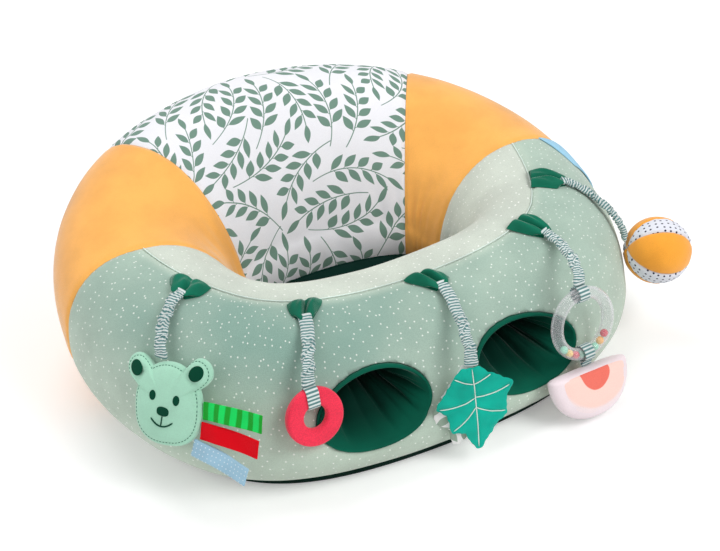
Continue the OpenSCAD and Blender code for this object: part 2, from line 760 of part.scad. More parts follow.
module leaf_back() {
  color(white) hanging(2)
    translate([0, 0, -leaf_thick / 2 - hinge_gap / 2])
      pillow(leaf_outline(0.97 * leaf_h, -13), leaf_middle, leaf_back_thick, 3);
}

// Rattle ring: a clear tube bent round, with beads in its lower part
rattle_mid_r = rattle_r - rattle_tube_r;
rattle_loop_in = rattle_tube_r + hinge_gap + loop_drop(rattle_mid_r);
rattle_loop_out = rattle_loop_in + ribbon_thick;
rattle_y = -toy_top - rattle_loop_out - rattle_mid_r;

module rattle_loop() {
  color(stripe) hanging(3) translate([0, rattle_y + rattle_mid_r, 0])
    rotate([90, 0, 90]) translate([0, 0, -ribbon_w / 2]) difference() {
      cylinder(r = rattle_loop_out, h = ribbon_w);
      translate([0, 0, -1]) cylinder(r = rattle_loop_in, h = ribbon_w + 2);
    }
}

module rattle_ring() {
  color([0.85, 0.9, 0.92, 0.5]) hanging(3) translate([0, rattle_y, 0])
    rotate_extrude($fn = 72) translate([rattle_mid_r, 0]) difference() {
      circle(rattle_tube_r);
      circle(rattle_tube_r - rattle_wall);
    }
}

bead_orbit = rattle_mid_r + rattle_tube_r - rattle_wall - bead_r - 0.3;
bead_pitch = 2 * asin((bead_r + 0.1) / bead_orbit);
BEAD_COLOURS = [[0.6, 0.9, 0.8], [0.9, 0.25, 0.35], [0.6, 0.9, 0.8], [1, 0.75, 0.3]];
module rattle_beads() {
  hanging(3) translate([0, rattle_y, 0])
    for (i = [0:beads - 1]) color(BEAD_COLOURS[i % len(BEAD_COLOURS)])
      rotate([0, 0, -90 + (i - (beads - 1) / 2) * bead_pitch])
        translate([bead_orbit, 0, 0]) sphere(bead_r, $fn = 24);
}

// Loop under the rattle ring, with a stalk that is sewn to the fruit slice
fruit_stalk = 4;
fruit_hinge_y = rattle_y - rattle_mid_r - rattle_loop_out - fruit_stalk;
module fruit_loop() {
  color(stripe) hanging(3) {
    translate([0, rattle_y - rattle_mid_r, 0])
      rotate([90, 0, 90]) translate([0, 0, -ribbon_w / 2]) difference() {
        cylinder(r = rattle_loop_out, h = ribbon_w);
        translate([0, 0, -1]) cylinder(r = rattle_loop_in, h = ribbon_w + 2);
      }
    translate([-ribbon_w / 2, fruit_hinge_y, -ribbon_thick])
      cube([ribbon_w, fruit_stalk + 0.6, 2 * ribbon_thick]);
    translate([0, fruit_hinge_y, 0]) rotate([0, 90, 0])
      cylinder(r = ribbon_thick, h = ribbon_w, center = true);
  }
}

// Half-round slice: a flat edge above, with rounded corners
fruit_top = -ribbon_thick - hinge_gap;
fruit_lean = 12;
fruit_edge = 6;
fruit_shift = -1;
function slice_radius(a) = a > 180 ? oval_exit(a, fruit_r, fruit_h, 2.2)
                                   : oval_exit(a, fruit_r, fruit_edge, 4);
module fruit_slice() {
  outline = [for (a = [0:8:359])
    slice_radius(a) * [cos(a), sin(a)] + [fruit_shift, fruit_top - fruit_edge]];
  color([0.96, 0.88, 0.9]) hanging(3) translate([0, fruit_hinge_y, 0])
    rotate([-fruit_lean, 0, -2])
      pillow(outline, [fruit_shift, fruit_top - 0.35 * fruit_h], fruit_thick, 5, 0.42);
}

// Ball: gores in two colours round a stuffed core, hung beside its hinge point
ball_drop = [-2.5, -18.6, 33.4];
ball_place = unit(ball_drop) * (ball_r + toy_top + 0.2);
ball_lean = [18, 62, 0];
module in_ball() { hanging(4) translate(ball_place) rotate(ball_lean) children(); }

module ball_filling() {
  color(white) in_ball() sphere(ball_r - gore_thick - cover_gap, $fn = 64);
}

module gores(first) {
  pitch = 180 / gore_pairs;
  gap_angle = seam_gap / ball_r * 180 / PI;
  pole = 3;
  in_ball() for (i = [0:gore_pairs - 1])
    rotate([0, 0, (2 * i + first) * pitch + gap_angle / 2])
      rotate_extrude(angle = pitch - gap_angle, $fn = 64) intersection() {
        difference() {
          circle(ball_r);
          circle(ball_r - gore_thick);
        }
        polygon([[0, 0], 2 * ball_r * [cos(90 - pole), sin(90 - pole)],
          [2 * ball_r, ball_r], [2 * ball_r, -ball_r],
          2 * ball_r * [cos(90 - pole), -sin(90 - pole)]]);
      }
}
module ball_orange_gores() { color([1, 0.66, 0.25]) gores(0); }
module ball_dotted_gores() { color(white) gores(1); }

// ---------- side flap ----------

// The flap is sewn on along a straight line just above its top edge
flap_off = cover_gap + 0.2;
flap_sewn_above = 2;
flap_axis_off = flap_off + flap_thick / 2;
flap_axis_from = on_ring(flap_from, flap_top_front + flap_sewn_above, flap_axis_off);
flap_axis_to = on_ring(flap_to, flap_top_rear + flap_sewn_above, flap_axis_off);
function flap_top(s) =
  mix(flap_top_front, flap_top_rear, (s - flap_from) / (flap_to - flap_from));
module side_flap() {
  columns = span(flap_from, flap_to, 5);
  color([0.62, 0.82, 0.92])
    cover_sheet(columns, [for (s = columns) span(flap_top(s) - flap_drop, flap_top(s), 6)],
      flap_off + flap_thick, flap_off);
}

// ---------- closing zip ----------

// The zip lies on a true arc about a vertical axis behind the seat's middle
zip_probe = 20;
function wall_at(s, z) = from_section(s, section_off(s, low_angle(s, z), cover_gap));
zip_a = wall_at(180, zip_z);
zip_b = wall_at(180 - zip_probe, zip_z);
zip_axis_y = (zip_a.y * zip_a.y - zip_b.x * zip_b.x - zip_b.y * zip_b.y)
  / (2 * (zip_a.y - zip_b.y));
zip_lift = -0.4;
zip_r = zip_a.y - zip_axis_y + zip_lift;
// Outward slope of the wall behind the tape
zip_slope = (wall_at(180, zip_z + 4).y - wall_at(180, zip_z - 4).y) / 8;
module on_zip(a) {
  translate([0, zip_axis_y, 0]) rotate([0, 0, 90 + a]) translate([zip_r, 0, zip_z])
    rotate([0, atan(zip_slope), 0]) children();
}

module zip_tape() {
  half = zip_tape_w / 2;
  color([0.1, 0.25, 0.22]) translate([0, zip_axis_y, 0])
    rotate([0, 0, 90 - zip_half_angle])
      rotate_extrude(angle = 2 * zip_half_angle, $fn = 120)
        translate([zip_r, zip_z]) rotate(-atan(zip_slope))
          translate([0, -half]) square([zip_tape_thick, zip_tape_w]);
}

module zip_teeth() {
  pitch = 2 * (zip_half_angle - 1) / zip_teeth_count;
  tooth = 0.55 * pitch * PI / 180 * zip_r;
  color([0.15, 0.3, 0.27]) for (i = [0:zip_teeth_count - 1])
    on_zip(-zip_half_angle + 1 + (i + 0.5) * pitch)
      translate([zip_tape_thick, -tooth / 2, (i % 2 - 1) * zip_teeth_w * 0.6])
        cube([zip_teeth_thick, tooth, zip_teeth_w * 0.6]);
}

slider_gap = 0.4;
slider_len = 10;
slider_plate = 1.2;
slider_depth = zip_teeth_thick + slider_gap + slider_plate;
slider_start = -zip_half_angle + 4;
slider_seat = zip_tape_thick + 0.2;
// The bridge on the slider, and the eye of the pull that hangs on it
bridge_r = 0.9;
eye_r = bridge_r + 0.05;
eye_wall = 0.7;
bridge_x = slider_depth + eye_r + eye_wall + slider_gap;
module zip_slider() {
  inner_w = zip_teeth_w * 1.2 + 2 * slider_gap;
  outer_w = inner_w + 3;
  color([0.7, 0.72, 0.74]) on_zip(slider_start) translate([slider_seat, 0, 0]) {
    difference() {
      translate([0, -slider_len / 2, -outer_w / 2])
        cube([slider_depth, slider_len, outer_w]);
      translate([-1, -slider_len, -inner_w / 2])
        cube([1 + zip_teeth_thick + slider_gap, 2 * slider_len, inner_w]);
    }
    for (y = [-1, 1]) translate([slider_depth - 0.5, y * 2.6 - 0.6, -1.3])
      cube([bridge_x - slider_depth + bridge_r + 0.8, 1.2, 2.6]);
    translate([bridge_x, 0, 0]) rotate([90, 0, 0])
      cylinder(r = bridge_r, h = 5.2, center = true);
  }
}

module zip_pull() {
  color([0.7, 0.72, 0.74]) on_zip(slider_start)
    translate([slider_seat + bridge_x, 0, 0]) rotate([0, -atan(zip_slope), 0])
      difference() {
        union() {
          rotate([90, 0, 0]) cylinder(r = eye_r + eye_wall, h = 3, center = true);
          translate([-0.7, -1.5, -zip_pull_len]) cube([1.4, 3, zip_pull_len - 1]);
          translate([-0.7, -2.5, -zip_pull_len]) cube([1.4, 5, zip_pull_len * 0.55]);
        }
        rotate([90, 0, 0]) cylinder(r = eye_r, h = 4, center = true);
      }
}

inflatable_ring();
air_valve();
valve_plug();
front_panel();
front_top_panel();
left_side_panel();
right_side_panel();
back_panel();
base_panel();
seat_mat();
leg_tunnel_left();
leg_tunnel_right();
seam_tab(0);  // tab_1
seam_tab(1);  // tab_2
seam_tab(2);  // tab_3
seam_tab(3);  // tab_4
seam_tab(4);  // tab_5
strap(0);  // strap_1
strap(1);  // strap_2
strap(2);  // strap_3
strap(3);  // strap_4
strap(4);  // strap_5
animal_head();
ribbon_green();
ribbon_red();
ribbon_blue();
teether_loop();
teether_ring();
leaf_back();
leaf_front();
rattle_loop();
rattle_ring();
rattle_beads();
fruit_loop();
fruit_slice();
ball_filling();
ball_orange_gores();
ball_dotted_gores();
side_flap();
zip_tape();
zip_teeth();
zip_slider();
zip_pull();
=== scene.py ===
import math
from itertools import product

import bpy
import numpy as np
from mathutils import Matrix


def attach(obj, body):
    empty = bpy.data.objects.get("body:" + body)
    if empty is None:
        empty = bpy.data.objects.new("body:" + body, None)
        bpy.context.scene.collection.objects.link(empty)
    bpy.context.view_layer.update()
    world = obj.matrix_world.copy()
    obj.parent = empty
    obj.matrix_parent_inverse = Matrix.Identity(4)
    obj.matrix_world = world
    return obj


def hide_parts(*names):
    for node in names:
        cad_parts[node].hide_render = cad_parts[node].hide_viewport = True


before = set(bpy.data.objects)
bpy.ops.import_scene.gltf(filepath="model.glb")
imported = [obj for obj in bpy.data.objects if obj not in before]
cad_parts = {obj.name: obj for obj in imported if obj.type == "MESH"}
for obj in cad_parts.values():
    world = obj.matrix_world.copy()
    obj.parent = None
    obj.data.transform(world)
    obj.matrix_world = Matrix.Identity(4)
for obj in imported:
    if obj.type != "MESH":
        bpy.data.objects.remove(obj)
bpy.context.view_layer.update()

MM = 0.001
PI = math.pi

# ---------------------------------------------------------------- small maths
# Lengths are in millimetres and angles in degrees, as in the part's source. The plain
# numbers left in the shape formulas are heights, widths and wavelengths.


def sn(a):
    return np.sin(np.radians(a))


def cs(a):
    return np.cos(np.radians(a))


def vec(*parts):
    return np.stack(np.broadcast_arrays(*[np.asarray(p, float) for p in parts]), -1)


def unit(v):
    return v / np.linalg.norm(v, axis=-1, keepdims=True)


def mix(a, b, k):
    return a + (b - a) * k


def ease(k):
    return k * k * (3 - 2 * k)


def signed_pow(v, e):
    return np.sign(v) * np.abs(v) ** e


def bump_at(d, width):
    return np.exp(-((d / width) ** 2))


LATTICE = 24
LATTICES = [np.random.RandomState(40 + i).uniform(-1, 1, (LATTICE,) * 3) for i in range(6)]


def noise3(p, size, seed=0):
    """Smooth noise from -1 to 1 with features of about size."""
    q = np.asarray(p, float) / size + 100.37 + 7.1 * seed
    i = np.floor(q).astype(int)
    f = ease(q - i)
    out = 0
    for corner in product((0, 1), repeat=3):
        w = np.prod([f[..., k] if c else 1 - f[..., k] for k, c in enumerate(corner)], 0)
        x, y, z = np.moveaxis((i + corner) % LATTICE, -1, 0)
        out = out + w * LATTICES[seed % len(LATTICES)][x, y, z]
    return out


def noise1(x, seed=0):
    x = np.asarray(x, float)
    return noise3(vec(x, 3.3 * seed + 0 * x, 1.7 + 0 * x), 1.0, seed)


def runs(p):
    """Running length along a line of points."""
    return np.concatenate([[0], np.cumsum(np.linalg.norm(np.diff(p, axis=0), axis=1))])


# ---------------------------------------------------------------- ring surface
# As in the part's source: a ring angle s, 0 at the front, and an angle t round its
# section, 0 outward and 90 on top.

RING_HALF_WIDTH, RING_HALF_DEPTH = 221, 163
RING_TAPER, RING_SQUARE, RING_FLAT, RING_ROUND = 14, 12, 21, 5
TUBE_W, TUBE_H = (71, 92, 90.5), (145, 171, 237)
RIM_EASE, RIM_LEAN, WIDEST = 8, 40, 0.4
UPPER_FULL, LOWER_FULL = 2.26, 1.7
COVER_THICK, COVER_GAP = 3, 0.3
FRONT_SEAM, BACK_SEAM = 105, 145.8
RIDGE_FRONT, RIDGE_SIDE = 79.8, 92.6
BASE_EDGE_H, INNER_EDGE_H, MAT_SIDE_H = 8, 6, 38
WELL_MIDDLE = np.array([0, 0.07 * RING_HALF_DEPTH, 0])
UP = np.array([0, 0, 1.0])


def round_ring(sizes, s):
    front, side, back = sizes
    return (
        (front + 2 * side + back) / 4
        + (front - back) / 2 * cs(s)
        + (front - 2 * side + back) / 4 * cs(2 * s)
    )


def centre(s):
    return vec(
        RING_HALF_WIDTH * sn(s) - RING_TAPER * sn(2 * s) + RING_SQUARE * sn(3 * s),
        -RING_HALF_DEPTH * cs(s) + RING_FLAT * cs(2 * s) + RING_ROUND * cs(3 * s),
        0,
    )


def heading(s):
    return unit(vec(
        RING_HALF_WIDTH * cs(s) - 2 * RING_TAPER * cs(2 * s) + 3 * RING_SQUARE * cs(3 * s),
        RING_HALF_DEPTH * sn(s) - 2 * RING_FLAT * sn(2 * s) - 3 * RING_ROUND * sn(3 * s),
        0,
    ))


def outward(s):
    h = heading(s)
    return vec(h[..., 1], -h[..., 0], 0)


def tube_w(s):
    return round_ring(TUBE_W, s)


def tube_h(s):
    return round_ring(TUBE_H, s) - RIM_EASE * (cs(3 * s) - cs(s))


def widest_z(s):
    return WIDEST * tube_h(s)


def section(s, t):
    zc = widest_z(s)
    up = sn(t) >= 0
    e = np.where(up, 2 / UPPER_FULL, 2 / LOWER_FULL)
    return vec(
        tube_w(s) * signed_pow(cs(t), e) - RIM_LEAN * cs(s) * sn(t),
        zc + np.where(up, tube_h(s) - zc, zc) * signed_pow(sn(t), e),
    )


def section_off(s, t, off):
    d = section(s, t + 0.05) - section(s, t - 0.05)
    n = vec(d[..., 1], -d[..., 0]) / np.linalg.norm(d, axis=-1, keepdims=True)
    return section(s, t) + np.asarray(off, float)[..., None] * n


def from_section(s, q):
    return centre(s) + outward(s) * q[..., :1] + vec(0 * q[..., 1], 0, q[..., 1])


def on_ring(s, t, off=0.0):
    s, t, off = np.broadcast_arrays(*[np.asarray(v, float) for v in (s, t, off)])
    return from_section(s, section_off(s, t, off))


def skin_normal(s, t):
    return unit(on_ring(s, t, 1) - on_ring(s, t, 0))


def down_skin(s, t):
    return unit(on_ring(s, t - 0.2) - on_ring(s, t))


def low_angle(s, z):
    return -np.degrees(np.arcsin((1 - z / widest_z(s)) ** (LOWER_FULL / 2)))


def outer_edge(s):
    return low_angle(s, BASE_EDGE_H)


def inner_edge(s):
    return 180 - low_angle(s, INNER_EDGE_H)


def ridge(s):
    return (RIDGE_FRONT + RIDGE_SIDE) / 2 + (RIDGE_FRONT - RIDGE_SIDE) / 2 * cs(2 * s)


def side_x(s, z, side):
    """Distance outward from the centre line to the wall at height z."""
    zc = widest_z(s)
    up = z >= zc
    share = np.clip(np.where(up, (z - zc) / (tube_h(s) - zc), (zc - z) / zc), 0, 1)
    e = np.where(up, 2 / UPPER_FULL, 2 / LOWER_FULL)
    sine = share ** (1 / e)
    lean = RIM_LEAN * cs(s) * sine * np.where(up, 1, -1)
    return side * tube_w(s) * np.sqrt(1 - sine * sine) ** e - lean


def ring_place(p, s0):
    """The ring angle of points near s0, and their distance outward from its line."""
    s = np.full(p.shape[:-1], float(s0))
    for _ in range(12):
        speed = np.linalg.norm(centre(s + 0.5) - centre(s - 0.5), axis=-1)
        s = s + 0.8 * ((p - centre(s)) * heading(s)).sum(-1) / speed
    return s, ((p - centre(s)) * outward(s)).sum(-1)


# ---------------------------------------------------------------- leg openings

LEG_AT, LEG_Z = 20.7, 75
LEG_MOUTH, LEG_WAIST = (120, 68), (92, 50)


def leg_stations(s0):
    """Distances from the ring's line at which the opening's size is given."""
    tw = float(tube_w(s0))
    return [-tw - 40, -0.35 * tw, 0.05 * tw, 0.5 * tw, tw + 34]


def leg_sizes(s0, w):
    """Half width and half height of the opening at distance w from the line."""
    mid = [mix(LEG_MOUTH[k], LEG_WAIST[k], 0.7) for k in (0, 1)]
    wide = [LEG_WAIST[0] + 10, LEG_WAIST[0], mid[0], LEG_MOUTH[0] - 2, LEG_MOUTH[0] + 2]
    high = [LEG_WAIST[1], LEG_WAIST[1], mid[1], LEG_MOUTH[1] - 1, LEG_MOUTH[1] + 2]
    return [np.interp(w, leg_stations(s0), size) / 2 for size in (wide, high)]


def leg_point(s0, w, a, grow):
    hw, hh = leg_sizes(s0, w)
    return (
        centre(s0) + UP * LEG_Z
        + outward(s0) * np.asarray(w)[..., None]
        + heading(s0) * ((hw + grow) * cs(a))[..., None]
        + vec(0 * np.asarray(a), 0, (hh + grow) * sn(a))
    )


def leg_cross(s0, a, grow, off, side):
    """Where a line down the opening crosses the wall, off millimetres outside it."""
    lo, hi = np.zeros_like(a), np.full_like(a, side * (float(tube_w(s0)) + 33.0))
    for _ in range(30):
        w = (lo + hi) / 2
        p = leg_point(s0, w, a, grow)
        s, x = ring_place(p, s0)
        out = side * (x - side_x(s, p[..., 2], side)) > off
        hi = np.where(out, w, hi)
        lo = np.where(out, lo, w)
    return (lo + hi) / 2


def leg_distance(p, s0):
    """Distance from an opening's rim, in the plane across it, and the angle round it."""
    d = p - centre(s0)
    hw, hh = leg_sizes(s0, (d * outward(s0)).sum(-1))
    x, z = (d * heading(s0)).sum(-1), d[..., 2] - LEG_Z
    r = np.sqrt((x / hw) ** 2 + (z / hh) ** 2)
    return (r - 1) * np.sqrt(x * x + z * z) / np.maximum(r, 0.05), np.arctan2(z, x)


# ---------------------------------------------------------------- mesh helpers


def add_mesh(name, verts, faces, material, body, uv=None, smooth=True, face_slots=None,
             node=None):
    mesh = bpy.data.meshes.new(name)
    mesh.from_pydata((np.asarray(verts) * MM).tolist(), [], [tuple(f) for f in faces])
    for m in material if isinstance(material, (list, tuple)) else [material]:
        mesh.materials.append(m)
    if uv is not None:
        loops = np.zeros(len(mesh.loops), int)
        mesh.loops.foreach_get("vertex_index", loops)
        layer = mesh.uv_layers.new(name="plan")
        layer.data.foreach_set("uv", (np.asarray(uv)[loops] * MM).ravel())
    if face_slots is not None:
        mesh.polygons.foreach_set("material_index", np.asarray(face_slots, np.int32))
    mesh.polygons.foreach_set("use_smooth", np.full(len(mesh.polygons), smooth))
    mesh.update()
    obj = bpy.data.objects.new(name, mesh)
    bpy.context.scene.collection.objects.link(obj)
    if body:
        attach(obj, body)
    if node:
        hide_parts(node)
    return obj


def grid_quads(idx, wrap_rows=False, wrap_cols=False):
    """Quads of an index grid; the normal is rows x columns."""
    a = np.concatenate([idx, idx[:1]]) if wrap_rows else idx
    a = np.concatenate([a, a[:, :1]], 1) if wrap_cols else a
    return np.stack([a[:-1, :-1], a[1:, :-1], a[1:, 1:], a[:-1, 1:]], -1).reshape(-1, 4).tolist()


def outwards(verts, faces):
    """The same closed mesh with its faces turned outward."""
    v, volume = np.asarray(verts), 0.0
    for n in (3, 4):
        f = np.array([q for q in faces if len(q) == n], int).reshape(-1, n)
        for i in range(1, n - 1):
            volume += (v[f[:, 0]] * np.cross(v[f[:, i]], v[f[:, i + 1]])).sum()
    return verts, (faces if volume > 0 else [list(f)[::-1] for f in faces])


def shell(top, under):
    """Closed sheet between two grids of points."""
    n, m = top.shape[:2]
    idx = np.arange(n * m).reshape(n, m)
    k = n * m
    faces = grid_quads(idx) + [q[::-1] for q in grid_quads(idx + k)]
    for e in (idx[::-1, 0], idx[:, -1], idx[0, :], idx[-1, ::-1]):
        faces += [[e[i], e[i + 1], k + e[i + 1], k + e[i]] for i in range(len(e) - 1)]
    return outwards(np.concatenate([top.reshape(-1, 3), under.reshape(-1, 3)]), faces)


def loft(rings):
    """Closed tube through rings of points, with a fan on each end."""
    rings = np.asarray(rings)
    n, m = rings.shape[:2]
    idx = np.arange(n * m).reshape(n, m)
    faces = grid_quads(idx, wrap_cols=True)
    verts = np.concatenate([rings.reshape(-1, 3), [rings[0].mean(0)], [rings[-1].mean(0)]])
    for hub, row, last in ((n * m, 0, False), (n * m + 1, n - 1, True)):
        for a, b in zip(idx[row], np.roll(idx[row], -1)):
            faces.append([hub, b, a] if last else [hub, a, b])
    return outwards(verts, faces)


def torus_grid(rings):
    rings = np.asarray(rings)
    n, m = rings.shape[:2]
    idx = np.arange(n * m).reshape(n, m)
    return outwards(rings.reshape(-1, 3), grid_quads(idx, True, True))


def join_meshes(parts):
    verts, faces, start = [], [], 0
    for v, f in parts:
        verts.append(np.asarray(v))
        faces += [[i + start for i in face] for face in f]
        start += len(v)
    return np.concatenate(verts), faces


def graded(a, b, n, k=0.72):
    """Steps from a to b that are finer at both ends."""
    u = np.linspace(0, 1, n + 1)
    return a + (b - a) * (u - k * np.sin(2 * PI * u) / (2 * PI))


FLAT = {}        # the box round each large panel as it lies on the model


def declare_sheet(flat, held):
    """flat is the box round the flat piece; its area is the cloth's own, seam to seam."""
    w, l = (v * MM for v in flat)


# ---------------------------------------------------------------- material helpers


def linear(rgb, shade=1.0):
    """A linear colour from an sRGB one, made lighter or darker by shade."""
    out = []
    for v in rgb:
        v = v / 255
        v = v / 12.92 if v <= 0.04045 else ((v + 0.055) / 1.055) ** 2.4
        out.append(min(1.0, v * shade))
    return (*out, 1.0)


class Value:
    """A number in a node tree. It takes + - * / < >, and | for the larger of two."""

    def __init__(self, tree, socket):
        self.tree, self.socket = tree, socket

    def op(self, name, other=0.0):
        return self.tree.math(name, self, other)


for sign, op_name in (("add", "ADD"), ("sub", "SUBTRACT"), ("mul", "MULTIPLY"),
                      ("truediv", "DIVIDE"), ("gt", "GREATER_THAN"), ("lt", "LESS_THAN"),
                      ("or", "MAXIMUM")):
    setattr(Value, f"__{sign}__", lambda a, b, name=op_name: a.op(name, b))


class Tree:
    """Short names for the nodes of one material or group."""

    def __init__(self, tree):
        self.t = tree

    def node(self, kind, inputs=None, **props):
        n = self.t.nodes.new("ShaderNode" + kind)
        for k, v in props.items():
            setattr(n, k, v)
        for k, v in (inputs or {}).items():
            self.put(n.inputs[k], v)
        return n

    def put(self, socket, v):
        v = v.socket if isinstance(v, Value) else v
        if isinstance(v, bpy.types.NodeSocket):
            self.t.links.new(v, socket)
        else:
            socket.default_value = v

    def math(self, op, a, b=0.0, c=0.0):
        return Value(self, self.node("Math", {0: a, 1: b, 2: c}, operation=op).outputs[0])

    def vmath(self, op, a, b=(0, 0, 0)):
        return self.node("VectorMath", {0: a, 1: b}, operation=op).outputs["Vector"]

    def length(self, v):
        n = self.node("VectorMath", {0: v}, operation="LENGTH")
        return Value(self, n.outputs["Value"])

    def mix(self, factor, a, b):
        return self.node("Mix", {0: factor, 6: a, 7: b}, data_type="RGBA").outputs[2]

    def ramp(self, value, low, high, to_low=0.0, to_high=1.0):
        return Value(self, self.node("MapRange", {
            "Value": value, "From Min": low, "From Max": high,
            "To Min": to_low, "To Max": to_high}, interpolation_type="SMOOTHSTEP").outputs[0])

    def noise(self, vector, scale, detail=2.0, rough=0.5):
        return Value(self, self.node("TexNoise", {
            "Vector": vector, "Scale": scale, "Detail": detail, "Roughness": rough}).outputs[0])

    def uv(self):
        return self.node("UVMap", uv_map="plan").outputs[0]

    def place(self):
        return self.node("TexCoord").outputs["Object"]

    def split(self, vector):
        return [Value(self, s) for s in self.node("SeparateXYZ", {0: vector}).outputs]

    def bump(self, strength, metres, height):
        return self.node("Bump", {
            "Strength": strength, "Distance": metres, "Height": height}).outputs[0]

    def seen(self):
        """1 where a picture or a reflection shows a surface, and 0 for its light."""
        path = self.node("LightPath").outputs
        camera, glossy, through = (
            Value(self, path[f"Is {k} Ray"]) for k in ("Camera", "Glossy", "Transmission"))
        return camera | (glossy | through)


def material(name, sockets):
    """A material, and sockets(tree) gives what goes into its shader."""
    m = bpy.data.materials.new(name)
    m.use_nodes = True
    t = Tree(m.node_tree)
    for socket, v in sockets(t).items():
        t.put(m.node_tree.nodes["Principled BSDF"].inputs[socket], v)
    return m


def cloth(name, colour, print_on=None, fuzz=0.10, drift=0.07, weave=0.0, weave_mm=0.7,
          bump=0.35, rough=0.92, sheen=0.25, sheen_rough=0.5, pile_mm=0.9, spec=0.2):
    """Cloth with an uneven dye, a short pile or a weave, and sheen. print_on adds a
    printed pattern: it takes the tree and the colour so far, and gives the new one."""
    def sockets(t):
        at = t.place()
        pile = height = t.noise(at, 1000.0 / pile_mm, 2.0, 0.6)
        dye = t.ramp(t.noise(at, 16.0, 3.0, 0.6), 0.3, 0.7)
        col = t.mix(dye, linear(colour, 1 - 2 * drift), linear(colour, 1 + drift))
        if print_on:
            col = print_on(t, col)
        k = t.ramp(pile, 0.25, 0.75, 1 - fuzz, 1 + 0.6 * fuzz)
        col = t.vmath("MULTIPLY", col, t.node("CombineXYZ", {0: k, 1: k, 2: k}).outputs[0])
        if weave:
            x, y, z = t.split(at)
            k = 2 * PI * 1000 / weave_mm
            height = ((x + z) * k).op("SINE") * ((y - z) * k).op("SINE") * weave + pile
        return {"Base Color": col, "Normal": t.bump(bump, 0.0008, height),
                "Roughness": t.ramp(pile, 0.2, 0.8, rough - 0.06, min(1, rough + 0.05)),
                "Sheen Weight": sheen, "Sheen Roughness": sheen_rough,
                "Specular IOR Level": spec}
    return material(name, sockets)


def dots(pitch_mm, radius_mm, colour, randomness=0.7, strength=0.9, stretch=(1, 1)):
    """Small printed dots, one in each cell of an uneven grid."""
    def add(t, col):
        p = t.vmath("MULTIPLY", t.uv(), (*(1000 / pitch_mm * k for k in stretch), 0))
        v = t.node("TexVoronoi", {"Vector": p, "Scale": 1.0, "Randomness": randomness},
                   voronoi_dimensions="2D", feature="F1")
        r = radius_mm / pitch_mm
        inside = t.ramp(v.outputs["Distance"], r * 0.8, r * 1.2, strength, 0.0)
        return t.mix(inside, col, linear(colour))
    return add


def stripes(pitch_mm, colour, share=0.5, soft=0.08):
    """Printed stripes across the length of the cloth."""
    def add(t, col):
        f = (t.split(t.uv())[1] * (1000 / pitch_mm)).op("FRACT")
        k = t.ramp(f, 0.0, soft) * t.ramp(f, share, share + soft, 1.0, 0.0)
        return t.mix(k, col, linear(colour))
    return add


# Leaf sprigs: a repeat of sprigs, each at (x, y, angle, bend), in millimetres
SPRIG_TILE = 190
SPRIGS = [
    (46, 53, 121, -0.69), (17, 43, 107, -0.45), (71, 77, 300, -0.43), (143, 31, 92, -0.45),
    (103, 92, 135, 0.36), (6, 158, 319, -0.41), (33, 176, 152, -0.52), (136, 149, 192, 0.55),
    (173, 43, 263, 0.35), (177, 122, 348, -0.35), (71, 190, 328, 0.47), (113, 20, 113, -0.38),
    (68, 143, 36, -0.43), (150, 95, 164, -0.67)]
SPRIG_LEN, SPRIG_BEND = 94.0, 0.012
LEAF_STEP, LEAF_LEN, LEAF_WIDE, LEAF_TURN = 14.2, 18.5, 4.1, 44.0
LEAF_STALK, LEAF_STAGGER, LEAF_TAPER, LEAF_BELLY = 2.2, 4.0, 0.035, 0.85
BARE_FOOT, BARE_TIP, TIP_LEAF, SOFT_EDGE = 12, 20, 16, 0.15


